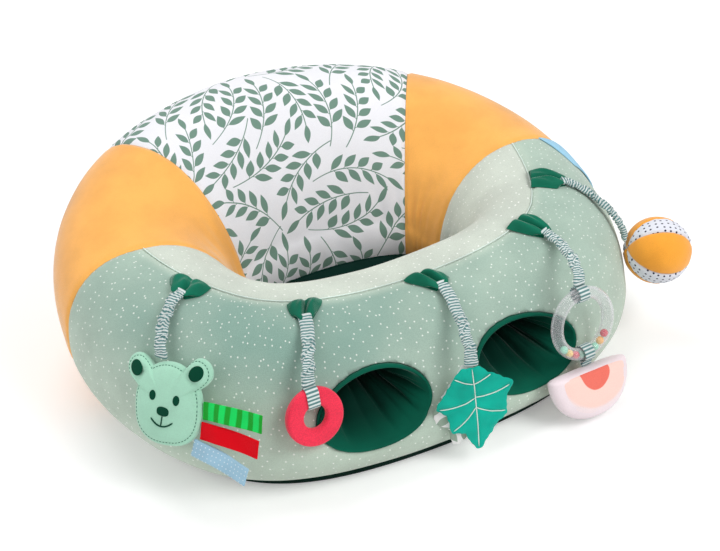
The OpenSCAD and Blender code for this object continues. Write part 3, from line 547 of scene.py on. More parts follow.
def sprig_group():
    """Node group: place in millimetres to how much sprig ink is there."""
    g = bpy.data.node_groups.new("sprig", "ShaderNodeTree")
    for label, kind in (("Place", "Vector"), ("Centre", "Vector"), ("Cos", "Float"),
                        ("Sin", "Float"), ("Bend", "Float"), ("Ink", "Float")):
        g.interface.new_socket(name=label, in_out="OUTPUT" if label == "Ink" else "INPUT",
                               socket_type="NodeSocket" + kind)
    t = Tree(g)
    ins = g.nodes.new("NodeGroupInput").outputs
    c, s, bend = (Value(t, ins[k]) for k in ("Cos", "Sin", "Bend"))
    # Wrap into one tile about the sprig's middle
    px, py, _ = (t.math("WRAP", p, SPRIG_TILE / 2, -SPRIG_TILE / 2)
                 for p in t.split(t.vmath("SUBTRACT", ins["Place"], ins["Centre"])))
    x = px * c + py * s
    y = py * c - px * s - bend * (x * x * SPRIG_BEND)
    away = y.op("ABSOLUTE")
    # Each point belongs to the leaf whose root lies at the slanted line through it.
    # Roots that fall beyond either end of the leafy part carry no leaf.
    lean_s, lean_c = float(sn(LEAF_TURN)), float(cs(LEAF_TURN))
    root = (y > 0.0) * -LEAF_STAGGER + (x - away / (lean_s / lean_c))
    low, high = -SPRIG_LEN / 2 + BARE_FOOT, SPRIG_LEN / 2 - BARE_TIP
    cell = ((root - low) / LEAF_STEP).op("FLOOR")
    valid = (cell > -0.5) * (cell < math.floor((high - low) / LEAF_STEP) - 0.5)
    off = root - (cell * LEAF_STEP + (low + LEAF_STEP / 2))
    across = (off * lean_s).op("ABSOLUTE")
    along = away / lean_s + off * lean_c
    size = cell * -LEAF_TAPER + 1.0
    share = (along - LEAF_STALK) / (size * LEAF_LEN)
    belly = ((share | 0.0).op("POWER", LEAF_BELLY) * PI).op("SINE")
    leaf = t.ramp(belly * size * LEAF_WIDE - across, -SOFT_EDGE, SOFT_EDGE)
    leaf = leaf * ((share > 0.0) * (share < 1.0)) * valid
    # The stem, the short leaf stalks and the leaf at the tip
    stem = t.ramp(away, 0.35, 0.75, 1.0, 0.0) * t.ramp(
        x.op("ABSOLUTE"), SPRIG_LEN / 2 - 1, SPRIG_LEN / 2, 1.0, 0.0)
    stalk = t.ramp(across, 0.2, 0.5, 1.0, 0.0) * ((along < 3.5) * valid)
    tip = (x - (SPRIG_LEN / 2 - TIP_LEAF)) / LEAF_LEN
    tip_w = ((tip | 0.0) * PI).op("SINE") * (LEAF_WIDE * 0.85)
    tip = (tip > 0.0) * (tip < 1.0) * t.ramp(tip_w - away, -SOFT_EDGE, SOFT_EDGE)
    t.put(g.nodes.new("NodeGroupOutput").inputs["Ink"], leaf | tip | (stem | stalk))
    return g


SPRIG_GROUP = sprig_group()


def sprigs(colour, scale=1.0):
    def add(t, col):
        p = t.vmath("MULTIPLY", t.uv(), (1000 / scale, 1000 / scale, 0))
        ink = None
        for x, y, angle, bend in SPRIGS:
            n = t.t.nodes.new("ShaderNodeGroup")
            n.node_tree = SPRIG_GROUP
            for k, v in (("Place", p), ("Centre", (x, y, 0)), ("Cos", float(cs(angle))),
                         ("Sin", float(sn(angle))), ("Bend", bend)):
                t.put(n.inputs[k], v)
            here = Value(t, n.outputs[0])
            ink = ink | here if ink else here
        return t.mix(ink, col, linear(colour))
    return add


def plastic(name, colour, rough=0.35, coat=0.0, metallic=0.0):
    def sockets(t):
        at = t.place()
        fine = t.noise(at, 900.0, 2.0, 0.5)
        col = t.mix(t.ramp(t.noise(at, 60.0, 3.0, 0.6), 0.35, 0.65),
                    linear(colour, 0.92), linear(colour))
        return {"Base Color": col, "Normal": t.bump(0.06, 0.0005, fine),
                "Roughness": t.ramp(fine, 0.3, 0.7, rough * 0.9, rough * 1.15),
                "Coat Weight": coat, "Metallic": metallic}
    return material(name, sockets)


def clear_sockets(t):
    """Clear tube: nearly see-through face on, greyish and glossy towards its edges."""
    n = t.noise(t.place(), 90.0, 2.0, 0.5)
    rim = t.node("LayerWeight", {"Blend": 0.42}).outputs["Facing"]
    return {"Base Color": t.mix(n, linear((214, 214, 218)), linear((240, 240, 243))),
            "Roughness": t.ramp(n, 0.3, 0.7, 0.05, 0.09),
            "Alpha": t.ramp(rim, 0.15, 0.95, 0.10, 0.72),
            "Coat Weight": 1.0, "Coat Roughness": 0.03}


def painted_shade_light_and_dots(t, col):
    """Painted shade darkens the velour below the ridge seam and painted light brightens it low
    down; printed dots go over both.
    """
    x, y, _ = t.split(t.uv())
    patch = t.ramp(t.noise(t.uv(), 5.0, 3.0, 0.6), 0.3, 0.65, 0.45, 1.0)
    upper = t.ramp(y, 0.0, 0.014) * t.ramp(y, 0.05, 0.15, 1.0, 0.0)
    middle = t.ramp(x, -0.10, 0.42, 1.0, 0.35) * t.ramp(x, -0.52, -0.30, 0.2, 1.0)
    # Painted shade: a blotchy darker band just below the ridge seam, strongest left of the
    # middle and fading to the right and far left.
    col = t.mix(upper * patch * middle, col, linear((132, 164, 152)))
    # Painted light: lighter towards the bottom of the panel.
    col = t.mix(t.ramp(y, 0.13, 0.24) * 0.75, col, linear((196, 208, 188)))
    return dots(10.2, 0.85, (240, 244, 238), 0.85, 0.75)(t, col)


def deep_shade(t, col):
    """A lining that is darker inside the opening than on its rolled hem."""
    inside = t.ramp(t.split(t.uv())[1], 0.014, 0.052, 0.0, 0.8)
    return t.mix(inside, col, linear((0, 34, 27)))


# The fruit's printed faces: its outline, and then each disc of flesh
FRUIT_R, FRUIT_H, FRUIT_THICK, FRUIT_EDGE, FRUIT_SHIFT = 48, 46, 25, 6, -1
RIBBON_W, RIBBON_THICK, GAP = 12, 1.6, 0.4
FRUIT_TOP = -RIBBON_THICK - GAP
FLESH = [((2.0, -5.0), (41.0, 34.0), 0.06, (252, 214, 203)),
         ((1.0, -1.5), (18.0, 20.0), 0.025, (240, 116, 100))]


def fruit_face(t, col):
    """A pale rim, peach flesh and a coral half disc of pips."""
    x, y, _ = t.split(t.uv())
    x, y = x * 1000.0 + -FRUIT_SHIFT, y * 1000.0 + (1.0 - FRUIT_TOP)
    for (cx, cy), (rx, ry), soft, colour in FLESH:
        a, b = (x - cx) / rx, (y - cy) / ry
        r = (a * a + b * b).op("SQRT") + (t.noise(t.uv(), 60.0) * 0.06 + -0.03)
        col = t.mix(t.ramp(r, 1 - soft, 1 + soft, 1.0, 0.0), col, linear(colour))
    return col


RIBBON = dict(weave=1.2, weave_mm=0.5, rough=0.6)
SOFT_SHINE = dict(rough=0.8, sheen_rough=0.35)
M = {
    "sage": cloth("sage velour", (184, 202, 187), painted_shade_light_and_dots, drift=0.06, sheen=0.3),
    "pale": cloth("pale sage velour", (204, 212, 200),
                  dots(10.2, 0.85, (244, 246, 241), 0.85, 0.75), drift=0.05, sheen=0.3),
    "orange": cloth("orange velour", (252, 180, 92), drift=0.06, sheen=0.6,
                    sheen_rough=0.4, fuzz=0.06),
    "print": cloth("leaf print jersey", (238, 238, 243), sprigs((112, 143, 129), 1.12),
                   fuzz=0.04, drift=0.015, weave=0.5, sheen=0.1, bump=0.25),
    "base": cloth("base cloth", (8, 38, 30), weave=1.0, fuzz=0.12, sheen=0.02, spec=0.08),
    "mat": cloth("mat velour", (0, 38, 31), drift=0.08, sheen=0.02, spec=0.05),
    "lining": cloth("lining velour", (0, 88, 68), deep_shade, drift=0.10, sheen=0.22,
                    fuzz=0.06, spec=0.1, **SOFT_SHINE),
    "velvet": cloth("green velvet", (0, 108, 82), drift=0.12, sheen=0.6, pile_mm=0.6,
                    **SOFT_SHINE),
    "webbing": cloth("striped webbing", (226, 234, 232), stripes(3.6, (92, 138, 138)),
                     fuzz=0.05, weave=1.0, bump=0.4),
    "mint": cloth("mint plush", (165, 215, 190), drift=0.05, sheen=0.35, fuzz=0.06),
    "face": cloth("dark green felt", (0, 66, 46), drift=0.08, sheen=0.06, fuzz=0.08,
                  spec=0.08),
    "green": cloth("green ribbon", (0, 222, 96), stripes(11.6, (0, 160, 34), 0.45),
                   fuzz=0.03, sheen=0.1, **RIBBON),
    "red": cloth("red ribbon", (222, 0, 22), fuzz=0.04, sheen=0.02, spec=0.08, **RIBBON),
    "blue": cloth("blue ribbon", (160, 200, 222), dots(4.2, 0.55, (235, 243, 248), 0.2),
                  fuzz=0.03, sheen=0.1, **RIBBON),
    "teether": cloth("red teether", (240, 52, 80), drift=0.08, fuzz=0.16, sheen=0.2,
                     bump=0.5, pile_mm=1.2),
    "leaf": cloth("leaf satin", (0, 176, 154), drift=0.16, fuzz=0.04, weave=0.8, rough=0.6,
                  sheen=0.08, spec=0.12),
    "leafprint": cloth("leaf print", (238, 238, 236), sprigs((152, 172, 156)), fuzz=0.03,
                       drift=0.02, weave=0.6, sheen=0.1),
    "thread": cloth("stitching thread", (225, 240, 232), fuzz=0.1, pile_mm=0.4),
    "thread_dark": cloth("dark thread", (20, 96, 74), fuzz=0.1, pile_mm=0.4),
    "rind": cloth("fruit rind plush", (244, 228, 233), drift=0.03, sheen=0.3, fuzz=0.04),
    "flesh": cloth("fruit face", (246, 228, 230), fruit_face, fuzz=0.05, drift=0.02,
                   sheen=0.25),
    "orange_gore": cloth("ball orange", (252, 168, 56), drift=0.06, sheen=0.35, fuzz=0.06),
    "dot_gore": cloth("ball dots", (232, 234, 243),
                      dots(5.4, 0.95, (28, 34, 66), 0.25, 1.0, (1.0, 0.8)), fuzz=0.03,
                      drift=0.015, weave=0.5, sheen=0.1),
    "flap": cloth("flap cloth", (160, 210, 236), drift=0.05, weave=0.8, sheen=0.15),
    "tape": cloth("zip tape", (20, 66, 56), weave=1.4, fuzz=0.05, sheen=0.05),
    "vinyl": plastic("chamber vinyl", (214, 222, 228), 0.4),
    "valve": plastic("valve plastic", (206, 216, 226)),
    "plug": plastic("plug plastic", (180, 196, 208)),
    "teeth": plastic("zip teeth plastic", (24, 70, 60), 0.4),
    "zinc": plastic("zinc", (176, 180, 184), 0.32, metallic=1.0),
    "clear": material("clear plastic", clear_sockets),
}

# ---------------------------------------------------------------- cover panels

# A cover's dip and puckers at a seam, and its dip at an edge that isn't sewn
SEAM_DEEP, SEAM_WIDE, PUCKER, PUCKER_STEP, ROW_PUCKER_STEP = 1.75, 3.0, 0.28, 8.5, 9.0
EDGE_DEEP, EDGE_WIDE = 1.2, 4.0
# Its least and most height off the ring's skin, its thickness, and its lowest underside
SKIN_LOW, SKIN_HIGH, CLOTH, CLOTH_LOW = -2.25, 2.6, 1.3, -3.15
LEG_PUCKERS, LEG_SIDES = 26, 96
ZIP_Z, ZIP_HALF, ZIP_FROM, ZIP_TO = 38, 8, 76, 104
ZIP_BED_HALF, ZIP_BED_TURN = 10, 20.5


def seam_dip(d, phase, gather=1.0):
    """How a cover dips and puckers at distance d from a sewn edge."""
    pucker = PUCKER * gather * np.sin(phase) * bump_at(d - 3.0, 5.0)
    return -SEAM_DEEP * bump_at(d, SEAM_WIDE) - 0.5 * np.exp(-d / 15) + pucker


def lengths(p, axis):
    """Running length of a grid of points along one axis."""
    step = np.linalg.norm(np.diff(p, axis=axis), axis=-1)
    zero = np.zeros_like(np.take(step, [0], axis=axis))
    return np.concatenate([zero, np.cumsum(step, axis=axis)], axis=axis)


def bake_modifiers(obj):
    graph = bpy.context.evaluated_depsgraph_get()
    mesh = bpy.data.meshes.new_from_object(obj.evaluated_get(graph))
    old = obj.data
    obj.modifiers.clear()
    obj.data = mesh
    name = old.name
    bpy.data.meshes.remove(old)
    mesh.name = name


def cut_opening(obj, s0):
    a = np.arange(LEG_SIDES) * 360 / LEG_SIDES
    rings = [leg_point(s0, w + 0 * a, a, 0.0) for w in leg_stations(s0)]
    cutter = add_mesh("cutter", *loft(rings), [], None, smooth=False)
    cut = obj.modifiers.new("opening", "BOOLEAN")
    cut.operation, cut.object, cut.solver = "DIFFERENCE", cutter, "MANIFOLD"
    bake_modifiers(obj)
    bpy.data.objects.remove(cutter)


def flank_folds(flat, s, t, d_side):
    """Fine drag folds that run from the side seams round the flank."""
    fold = np.sin(t / 3.1 + 2.5 * noise3(flat, 60, 3)) * noise3(flat, 45, 4)
    inner = np.clip((t - 60) / 50, 0, 1) * np.clip((150 - t) / 30, 0, 1)
    return 0.9 * fold * np.exp(-d_side / 55) * inner


def well_folds(flat, s, t, d_side):
    """Upright creases low on the inside, where the cover meets the mat."""
    low = np.clip((t - 135) / 40, 0, 1)
    return 1.9 * low * np.sin(s / 1.5 + 2.0 * noise3(flat, 40, 3)) * noise3(flat, 50, 5)


def cover(name, node, ends, steps, low, high, key, folds, sewn=None, openings=False,
          back=False):
    """One cover panel between two ring angles and two rows, as a closed sheet. sewn
    says whether its low or its high row lies in the ridge seam."""
    gap = COVER_GAP / 2 / RING_HALF_WIDTH * 180 / PI
    ns, nt = steps
    s = graded(ends[0] + gap, ends[1] - gap, ns)[:, None]
    t = mix(low(s), high(s), graded(0, 1, nt)[None, :])
    s = s + 0 * t
    flat = on_ring(s, t)
    along, up = lengths(flat, 0), lengths(flat, 1)
    off = 1.1 * noise3(flat, 85, 0) + 0.45 * noise3(flat, 34, 1) + 0.35
    wob = 2.2 * noise3(flat, 20, 2)
    for d in (along, along[-1:] - along):
        off = off + seam_dip(d, up / PUCKER_STEP * 2 * PI + wob)
    for row, d in (("low", up), ("high", up[:, -1:] - up)):
        off = off + (seam_dip(d, along / ROW_PUCKER_STEP * 2 * PI + wob, 0.7)
                     if row == sewn else -EDGE_DEEP * bump_at(d, EDGE_WIDE))
    for fold in folds:
        off = off + fold(flat, s, t, np.minimum(along, along[-1:] - along))
    legs = (-LEG_AT, LEG_AT) if openings else ()
    for s0 in legs:
        d, a = leg_distance(flat, s0)
        d = np.clip(d, 0, 400)
        off = off - 1.3 * bump_at(d, 3.5) - 0.7 * np.exp(-d / 10)
        off = off + 0.55 * np.sin(LEG_PUCKERS * a + wob) * bump_at(d - 5, 7.0)
    off = np.clip(off, SKIN_LOW, SKIN_HIGH)
    if back:
        # Flat under the zip's tape
        away = (np.maximum(np.abs(flat[..., 2] - ZIP_Z) - ZIP_BED_HALF, 0) / 6
                + np.maximum(np.abs(s - 180) - ZIP_BED_TURN, 0) / 2.5 + (t > 0) * 9)
        off = mix(np.minimum(off, -0.35), off, ease(np.clip(away, 0, 1)))
        u = along - along[ns // 2 : ns // 2 + 1]
    else:
        row = nt // 4
        u = along[:, row : row + 1] - along[ns // 2, row] + 0 * along
    uv = np.stack([u, up[:, -1:] - up], -1).reshape(-1, 2)
    under = on_ring(s, t, np.maximum(off - CLOTH, CLOTH_LOW))
    obj = add_mesh(name, *shell(on_ring(s, t, off), under), M[key], "seat", np.tile(uv, (2, 1)))
    FLAT[name] = (along[-1].max(), up[:, -1].max())
    for s0 in legs:
        cut_opening(obj, s0)
    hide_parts(node)


FRONT = (-FRONT_SEAM, FRONT_SEAM)
cover("cover_front", "front_panel", FRONT, (250, 64), outer_edge, ridge, "sage",
      [flank_folds], "high", True)
cover("cover_front_top", "front_top_panel", FRONT, (230, 72), ridge, inner_edge, "pale",
      [flank_folds, well_folds], "low", True)
for side_name, ends in (("left", (-BACK_SEAM, -FRONT_SEAM)), ("right", (FRONT_SEAM, BACK_SEAM))):
    cover(f"cover_side_{side_name}", f"{side_name}_side_panel", ends, (60, 150), outer_edge,
          inner_edge, "orange", [well_folds])
cover("cover_back", "back_panel", (BACK_SEAM, 360 - BACK_SEAM), (84, 170), outer_edge,
      inner_edge, "print", [well_folds], back=True)


def seam_thread():
    """Raised light stitching along the ridge seam."""
    n, thread_r = 620, 0.62
    s = np.linspace(-FRONT_SEAM + 0.5, FRONT_SEAM - 0.5, n)
    line = on_ring(s, ridge(s), -0.75 + 0.18 * np.sin(np.arange(n) * PI / 2))
    a = np.arange(6) * 60
    h, k = unit(np.gradient(line, axis=0)), skin_normal(s, ridge(s))
    side = np.cross(h, k)
    rings = [p + thread_r * (np.outer(cs(a), side[j]) + np.outer(sn(a), k[j]))
             for j, p in enumerate(line)]
    add_mesh("ridge_thread", *loft(rings), M["thread"], "seat")


seam_thread()

# ---------------------------------------------------------------- leg linings

# Rows round each mouth: how far the hem stands out of the opening, and off the cover
OUT_HEM = [(-0.7, -2.0), (-0.5, -0.4), (-0.35, 0.3), (-0.8, 0.85), (-1.7, 1.0),
           (-2.7, 0.7), (-3.4, -0.1), (-3.9, -1.6)]
IN_HEM = [(-3.4, -1.2), (-2.6, 0.2), (-1.6, 0.6), (-0.8, 0.1), (-0.6, -1.0)]
LINING_COLS, LINING_ROWS, LINING_CLEAR, FOLD_MOST = 192, 56, 0.75, 22.0


def lining(name, node, s0, seed):
    """Gathered tube: a rolled hem at each mouth, and folds that close to a waist."""
    n = LINING_COLS
    a = np.arange(n) * 360 / n

    def mouth(side, hem):
        grown = [(np.full(n, float(grow)), off) for grow, off in hem]
        return [(leg_cross(s0, a, g, off, side), g) for g, off in grown]

    rings = mouth(1, OUT_HEM)
    w_out, w_in = rings[-1][0], leg_cross(s0, a, np.full(n, -3.4), -2.5, -1)
    waist = leg_stations(s0)[1]
    for k in np.linspace(0.02, 0.98, LINING_ROWS):
        w = mix(w_out, w_in, k)
        deep = np.clip((w_out - w) / (w_out - waist) / 0.6, 0, 1) ** 0.8
        deep = deep * (1 - 0.7 * np.clip((waist - w) / 45, 0, 1))
        ang = a + 9 * sn(2 * a + 50 * seed) + 5 * noise1(np.full(n, float(k) * 2.3), seed)
        puff = np.abs(sn(4.5 * ang)) ** 0.6 * (0.72 + 0.28 * sn(ang * 2 + 80 * seed))
        small = np.abs(sn(9.5 * ang + 30 + 20 * k)) ** 0.7
        lean = 0.5 + 0.5 * cs(a + 50)
        fold = 4.0 + deep * (2.0 + 12.5 * puff + 3.2 * small + 5 * lean)
        rings.append((w, -np.minimum(fold, FOLD_MOST)))
    rings += mouth(-1, IN_HEM)
    # Back along the plain outer side, clear of the ring
    plain = np.full(n, -LINING_CLEAR)
    ends = [leg_cross(s0, a, plain, -3, side) for side in (1, -1)]
    rings += [(mix(*ends, k), plain) for k in (0.85, 0.7, 0.55, 0.4, 0.25, 0.12)]
    pts = np.array([leg_point(s0, w, a, g) for w, g in rings])
    around, row = np.meshgrid(np.arange(1, n + 1) * 2.0, np.arange(len(rings)) * 2.0)
    uv = np.stack([around, row], -1).reshape(-1, 2)
    add_mesh(name, *torus_grid(pts), M["lining"], "seat", uv, node=node)


lining("lining_left", "leg_tunnel_left", -LEG_AT, 1)
lining("lining_right", "leg_tunnel_right", LEG_AT, 2)

# ---------------------------------------------------------------- base and mat

ROUND = np.arange(0, 360, 1.25)


def at_height(p, z):
    return vec(p[:, 0], p[:, 1], z + 0 * ROUND)


def base():
    edge = on_ring(ROUND, outer_edge(ROUND))

    def rim(z, inset):
        inset = np.broadcast_to(inset, ROUND.shape)[:, None]
        return at_height(edge - outward(ROUND) * inset, z)

    def hollow(k):
        p = on_ring(ROUND, mix(outer_edge(ROUND) - 7, -90, k), -COVER_THICK)
        return at_height(p, np.maximum(COVER_THICK, p[:, 2]) if k < 1 else COVER_THICK)

    ripple = 0.5 * np.sin(ROUND / 360 * 2 * PI * 95) * (1 + noise1(ROUND / 9.0, 3))
    rings = [mix(rim(0, 3), WELL_MIDDLE, 0.6), mix(rim(0, 3), WELL_MIDDLE, 0.05)]
    rings += [rim(z, inset) for z, inset in (
        (0, 2.6), (0.5, 1.2), (1.6, 0.3), (3.4, -0.5 - 0.3 * ripple), (5.4, -0.2),
        (6.9, 0.3), (7.6, 1.4))]
    rings += [hollow(k) for k in np.linspace(0, 1, 8)]
    rings.append(at_height(mix(rim(0, 0), WELL_MIDDLE, 0.6), COVER_THICK))
    verts, faces = loft(rings)
    add_mesh("base_cloth", verts, faces, M["base"], "seat", node="base_panel")
    FLAT["base_cloth"] = tuple(np.ptp(verts, axis=0)[:2] + 2 * BASE_EDGE_H)


def mat():
    base_top, back_rise, crown_rise = COVER_THICK + COVER_GAP, 13, 3
    edge = MAT_SIDE_H + back_rise * ease(np.clip((1 - cs(ROUND)) / 2, 0, 1))

    def side(k):
        z = mix(base_top + 1, edge, k)
        p = on_ring(ROUND, 180 - low_angle(ROUND, z), COVER_GAP + 0.6)
        return at_height(mix(p, WELL_MIDDLE, 0.02 * max(0, (k - 0.8) / 0.2) ** 2), z)

    def crown(k):
        z = edge + (max(edge) + crown_rise - edge) * math.sqrt(1 - (1 - k) ** 4)
        tuft = 1.6 * np.abs(sn(4 * ROUND)) * math.sin(PI * min(1, 1.4 * k)) - 1.2
        return at_height(mix(side(1.0), WELL_MIDDLE, k), z + tuft * (k > 0.02))

    rings = [at_height(mix(side(0), WELL_MIDDLE, k), base_top) for k in (0.5, 0.03)]
    rings += [side(k) for k in np.linspace(0, 1, 14)]
    rings += [crown(k) for k in (
        0.015, 0.04, 0.08, 0.14, 0.22, 0.32, 0.44, 0.58, 0.72, 0.86, 0.95)]
    obj = add_mesh("floor_mat", *loft(rings), M["mat"], "seat", node="seat_mat")


base()
mat()

# ---------------------------------------------------------------- tabs and straps

# Tabs and straps, as in the part's source: each tab's ring place at its seam and at
# the strap, and each toy's ring angle, height, tilt and turn
TABS = [(-79.5, 90, -77.5, 79), (-31.5, 80, -33, 67), (3, 78.5, 6.5, 64.5),
        (43, 86.5, 44.5, 67.5), (79.5, 92.5, 76.5, 73.5)]
TAB_WIDTHS = [(40, 26), (33, 19), (32, 22), (26, 17), (30, 21)]
HANGS = [(-69.5, 143, 28, 6), (-36.6, 126, 14, 16), (1.5, 106, 12, -22),
         (33.9, 142, 12, -9), (67.5, 114, 5, 0)]
TAB_THICK, TAB_LIFT, STRAP_W, STRAP_R = 7, 1, 13, 3
TOY_TOP, PIVOT_OFF, REST_GAP = STRAP_R + GAP, STRAP_R + GAP + 0.8, 0.5
HEAD_W, HEAD_H, HEAD_THICK, EAR_R = 36, 38, 18, 13
TEETHER_R, TEETHER_HOLE, TEETHER_THICK = 28, 11.5, 9
RATTLE_R, TUBE_R, TUBE_WALL, BEAD_R, BEADS = 38, 6.2, 1.2, 4.1, 8
LEAF_H, LEAF_THICK, LEAF_BACK = 85, 5, 3
BALL_R, HEM = 36, 1.5
# For each toy: from and to below its hinge, and how far it stands towards the cover
LAYERS = [
    [(-4, 18, 5), (18, 95, HEAD_THICK / 2 - 1)],
    [(-4, 70, TEETHER_THICK / 2 + HEM)],
    [(-4, 95, LEAF_THICK + HEM + 36 * float(sn(22)) * 0.7)],
    [(-4, 88, TUBE_R + 2), (88, 140, FRUIT_THICK / 2 + 2)],
    [(-4, 20, 4)]]
# For each strap, how gathered it is along its length: (share, amount) points
GATHER = [
    [(0, 0.7), (0.5, 1), (1, 0.7)],
    [(0, 0.15), (0.3, 0.3), (0.42, 1), (0.85, 1), (1, 0.3)],
    [(0, 0.3), (0.35, 0.5), (0.5, 1), (0.8, 1), (1, 0.2)],
    [(0, 0.6), (0.5, 1), (0.8, 0.8), (1, 0.25)],
    [(0, 0.5), (0.4, 1), (1, 0.9)]]


def tab(i):
    """Folded velvet: two soft lobes with a deep crease, drawn in towards the strap."""
    s0, t0, s1, t1 = TABS[i]
    wide, narrow = TAB_WIDTHS[i]
    stop = 1 - (STRAP_R + 3.2 * GAP) / np.linalg.norm(on_ring(s0, t0) - on_ring(s1, t1))
    x = -cs(np.linspace(0, 180, 40))
    rings = []
    for q in np.linspace(-0.04, 1, 34):
        k = max(0.0, q)
        s = mix(s0, s1, ease(k * stop))
        t = mix(t0, t1, k * stop) + 48 * min(q, 0)
        w = mix(1.08 * wide, 1.25 * narrow, k) * (1 + 0.12 * math.sin(PI * k))
        w *= 1 - 0.35 * max(0, (k - 0.86) / 0.14) ** 2
        thick = 1.2 * TAB_THICK * (0.35 + 0.65 * float(sn(30 + 130 * k)))
        if q < 0.03:
            thick *= 0.45 + 0.55 * (q + 0.04) / 0.07
        crease = 0.10 * math.sin(2.2 * q + i) + 0.04 * i * (q - 0.5)
        away = x - crease
        lobes = np.abs(np.sin(PI * np.clip(away / (1 - np.sign(away) * crease), -1, 1))) ** 0.55
        small = 0.16 * np.sin(9 * x + 3.0 * q + 2 * i) * math.sin(PI * min(1, k * 1.1))
        fan = bump_at(away, 0.13) * (0.35 + 0.5 * k)
        top = thick * (1.02 * (1 - np.abs(x) ** 3.5) * (0.72 + 0.28 * lobes + small) - fan)
        top = np.maximum(top, 0.35)
        top[0] = top[-1] = 0.25
        turn = x * w / 2 / np.linalg.norm(on_ring(s + 0.5, t) - on_ring(s - 0.5, t))
        hang = 9.0 * np.clip((q - 0.55) / 0.45, 0, 1) ** 1.5 / np.linalg.norm(
            on_ring(s, t + 0.5) - on_ring(s, t - 0.5))
        hang = hang * bump_at(np.abs(away) - 0.55, 0.3)
        below = slice(-2, 0, -2)
        rings.append(np.concatenate([
            on_ring(s + turn, t - hang, TAB_LIFT + top),
            on_ring(s + turn[below], t - hang[below], 0.35)]))
    obj = add_mesh(f"velvet_tab_{i + 1}", *loft(rings), M["velvet"], "seat",
                   node=f"tab_{i + 1}")
    soft = obj.modifiers.new("soft", "SUBSURF")
    soft.levels = soft.render_levels = 1
    bake_modifiers(obj)
    obj.data.polygons.foreach_set("use_smooth", np.full(len(obj.data.polygons), True))


class Hang:
    """Frame of a hanging toy: origin at its hinge, X to its right, Y up, Z outward."""

    def __init__(self, i):
        s, z, tilt, turn = HANGS[i]
        reach = []
        for t in range(80, -73, -4):
            q = section_off(float(s), float(t), REST_GAP)
            drop = (z - q[1]) / cs(tilt)
            reach += [q[0] + (half + (q[1] - z) * sn(tilt)) / cs(tilt)
                      for a, b, half in LAYERS[i] if a <= drop <= b]
        self.p = from_section(np.float64(s), np.array([max(reach), z]))
        h, c, d = heading(np.float64(s)), cs(turn), sn(turn)
        self.x = np.array([h[0] * c - h[1] * d, h[0] * d + h[1] * c, 0])
        self.z = np.array([self.x[1], -self.x[0], 0]) * cs(tilt) + UP * sn(tilt)
        self.y = np.cross(self.z, self.x)

    def __call__(self, pts):
        return self.p + np.asarray(pts, float) @ np.array([self.x, self.y, self.z])


HANG = [Hang(i) for i in range(5)]


def turned(pts, x=0, y=0, z=0):
    """Turned about X, then Y, then Z."""
    pts = np.asarray(pts, float)
    for (i, j), a in (((1, 2), x), ((2, 0), y), ((0, 1), z)):
        c, d = cs(a), sn(a)
        out = pts.copy()
        out[..., i] = pts[..., i] * c - pts[..., j] * d
        out[..., j] = pts[..., i] * d + pts[..., j] * c
        pts = out
    return pts


def strap_line(i, k):
    s, t = TABS[i][2:]
    a, b = on_ring(s, t, PIVOT_OFF), HANG[i].p
    reach = np.linalg.norm(b - a)
    a2, b2 = a + down_skin(s, t) * reach * 0.32, b + UP * reach * 0.24
    k = k[..., None]
    m = 1 - k
    return m**3 * a + 3 * m * m * k * a2 + 3 * m * k * k * b2 + k**3 * b


def strap(i):
    n, m = 170, 40
    k = np.linspace(0, 1, n)
    line = strap_line(i, k)
    tangent = unit(np.gradient(line, axis=0))
    side = mix(heading(np.float64(TABS[i][2])), HANG[i].x, ease(k)[:, None])
    side = unit(side - tangent * (side * tangent).sum(-1, keepdims=True))
    up = np.cross(tangent, side)
    length = runs(line)[-1]
    amount = np.interp(k, *zip(*GATHER[i])) * np.clip(np.minimum(k, 1 - k) / 0.03, 0, 1)
    ang = np.arange(m) * 360 / m
    cx = 1.05 * STRAP_W / 2 * signed_pow(cs(ang), 0.55)
    cy = 1.05 * STRAP_R * signed_pow(sn(ang), 0.85)
    seed = 11.3 * i
    cloth_run = np.cumsum(np.append(0, np.diff(k) * length * (1 + 0.3 * amount[1:])))

    def ring(j, x, y, along=0.0):
        return (line[j] + tangent[j] * along + side[j] * np.asarray(x)[:, None]
                + up[j] * np.asarray(y)[:, None])

    rings, uv = [], []
    for j, (kj, deep) in enumerate(zip(k, amount)):
        drift = 0.9 * math.sin(kj * 17 + seed) + 1.1 * float(noise1(kj * 9, i))
        phase = (PI * length / 8.6 * kj + drift
                 + (0.22 + 0.2 * math.sin(kj * 19 + seed)) * cx
                 + 0.7 * np.sin(cx * 0.8 + kj * 27 + seed) + np.where(cy < 0, 1.3, 0))
        lift = 1 + deep * (0.38 - 0.86 * np.abs(np.cos(phase)) ** 1.5)
        ruffle = 1 + deep * (0.15 * np.sin(1.9 * phase + 1.4 * np.sign(cx)) - 0.24)
        rings.append(ring(j, cx * ruffle + 0.8 * deep * math.sin(kj * 21 + seed),
                          cy * lift * mix(0.62, 1.0, deep)))
        uv.append(np.stack([ang / 360 * 34, cloth_run[j] + 0.9 * deep * np.sin(phase)], -1))

    # Round ends about the two hinge pins
    def end(j, a, way):
        return ring(j, cx * 0.96, cy * cs(a), way * STRAP_R * sn(a))

    rings = ([end(0, a, -1) for a in (82, 65, 45, 25)] + rings
             + [end(n - 1, a, 1) for a in (25, 45, 65, 82)])
    uv = [uv[0] - [0, 4 - j] for j in range(4)] + uv + [uv[-1] + [0, j + 1] for j in range(4)]
    obj = add_mesh(f"gathered_strap_{i + 1}", *loft(rings), M["webbing"], f"strap_{i + 1}",
                   np.concatenate(uv + [uv[0][:1], uv[-1][:1]]), node=f"strap_{i + 1}")
    declare_sheet((17, cloth_run[-1] + 2 * STRAP_R), "gathered")


for i in range(5):
    tab(i)
    strap(i)

# ---------------------------------------------------------------- ribbons and loops


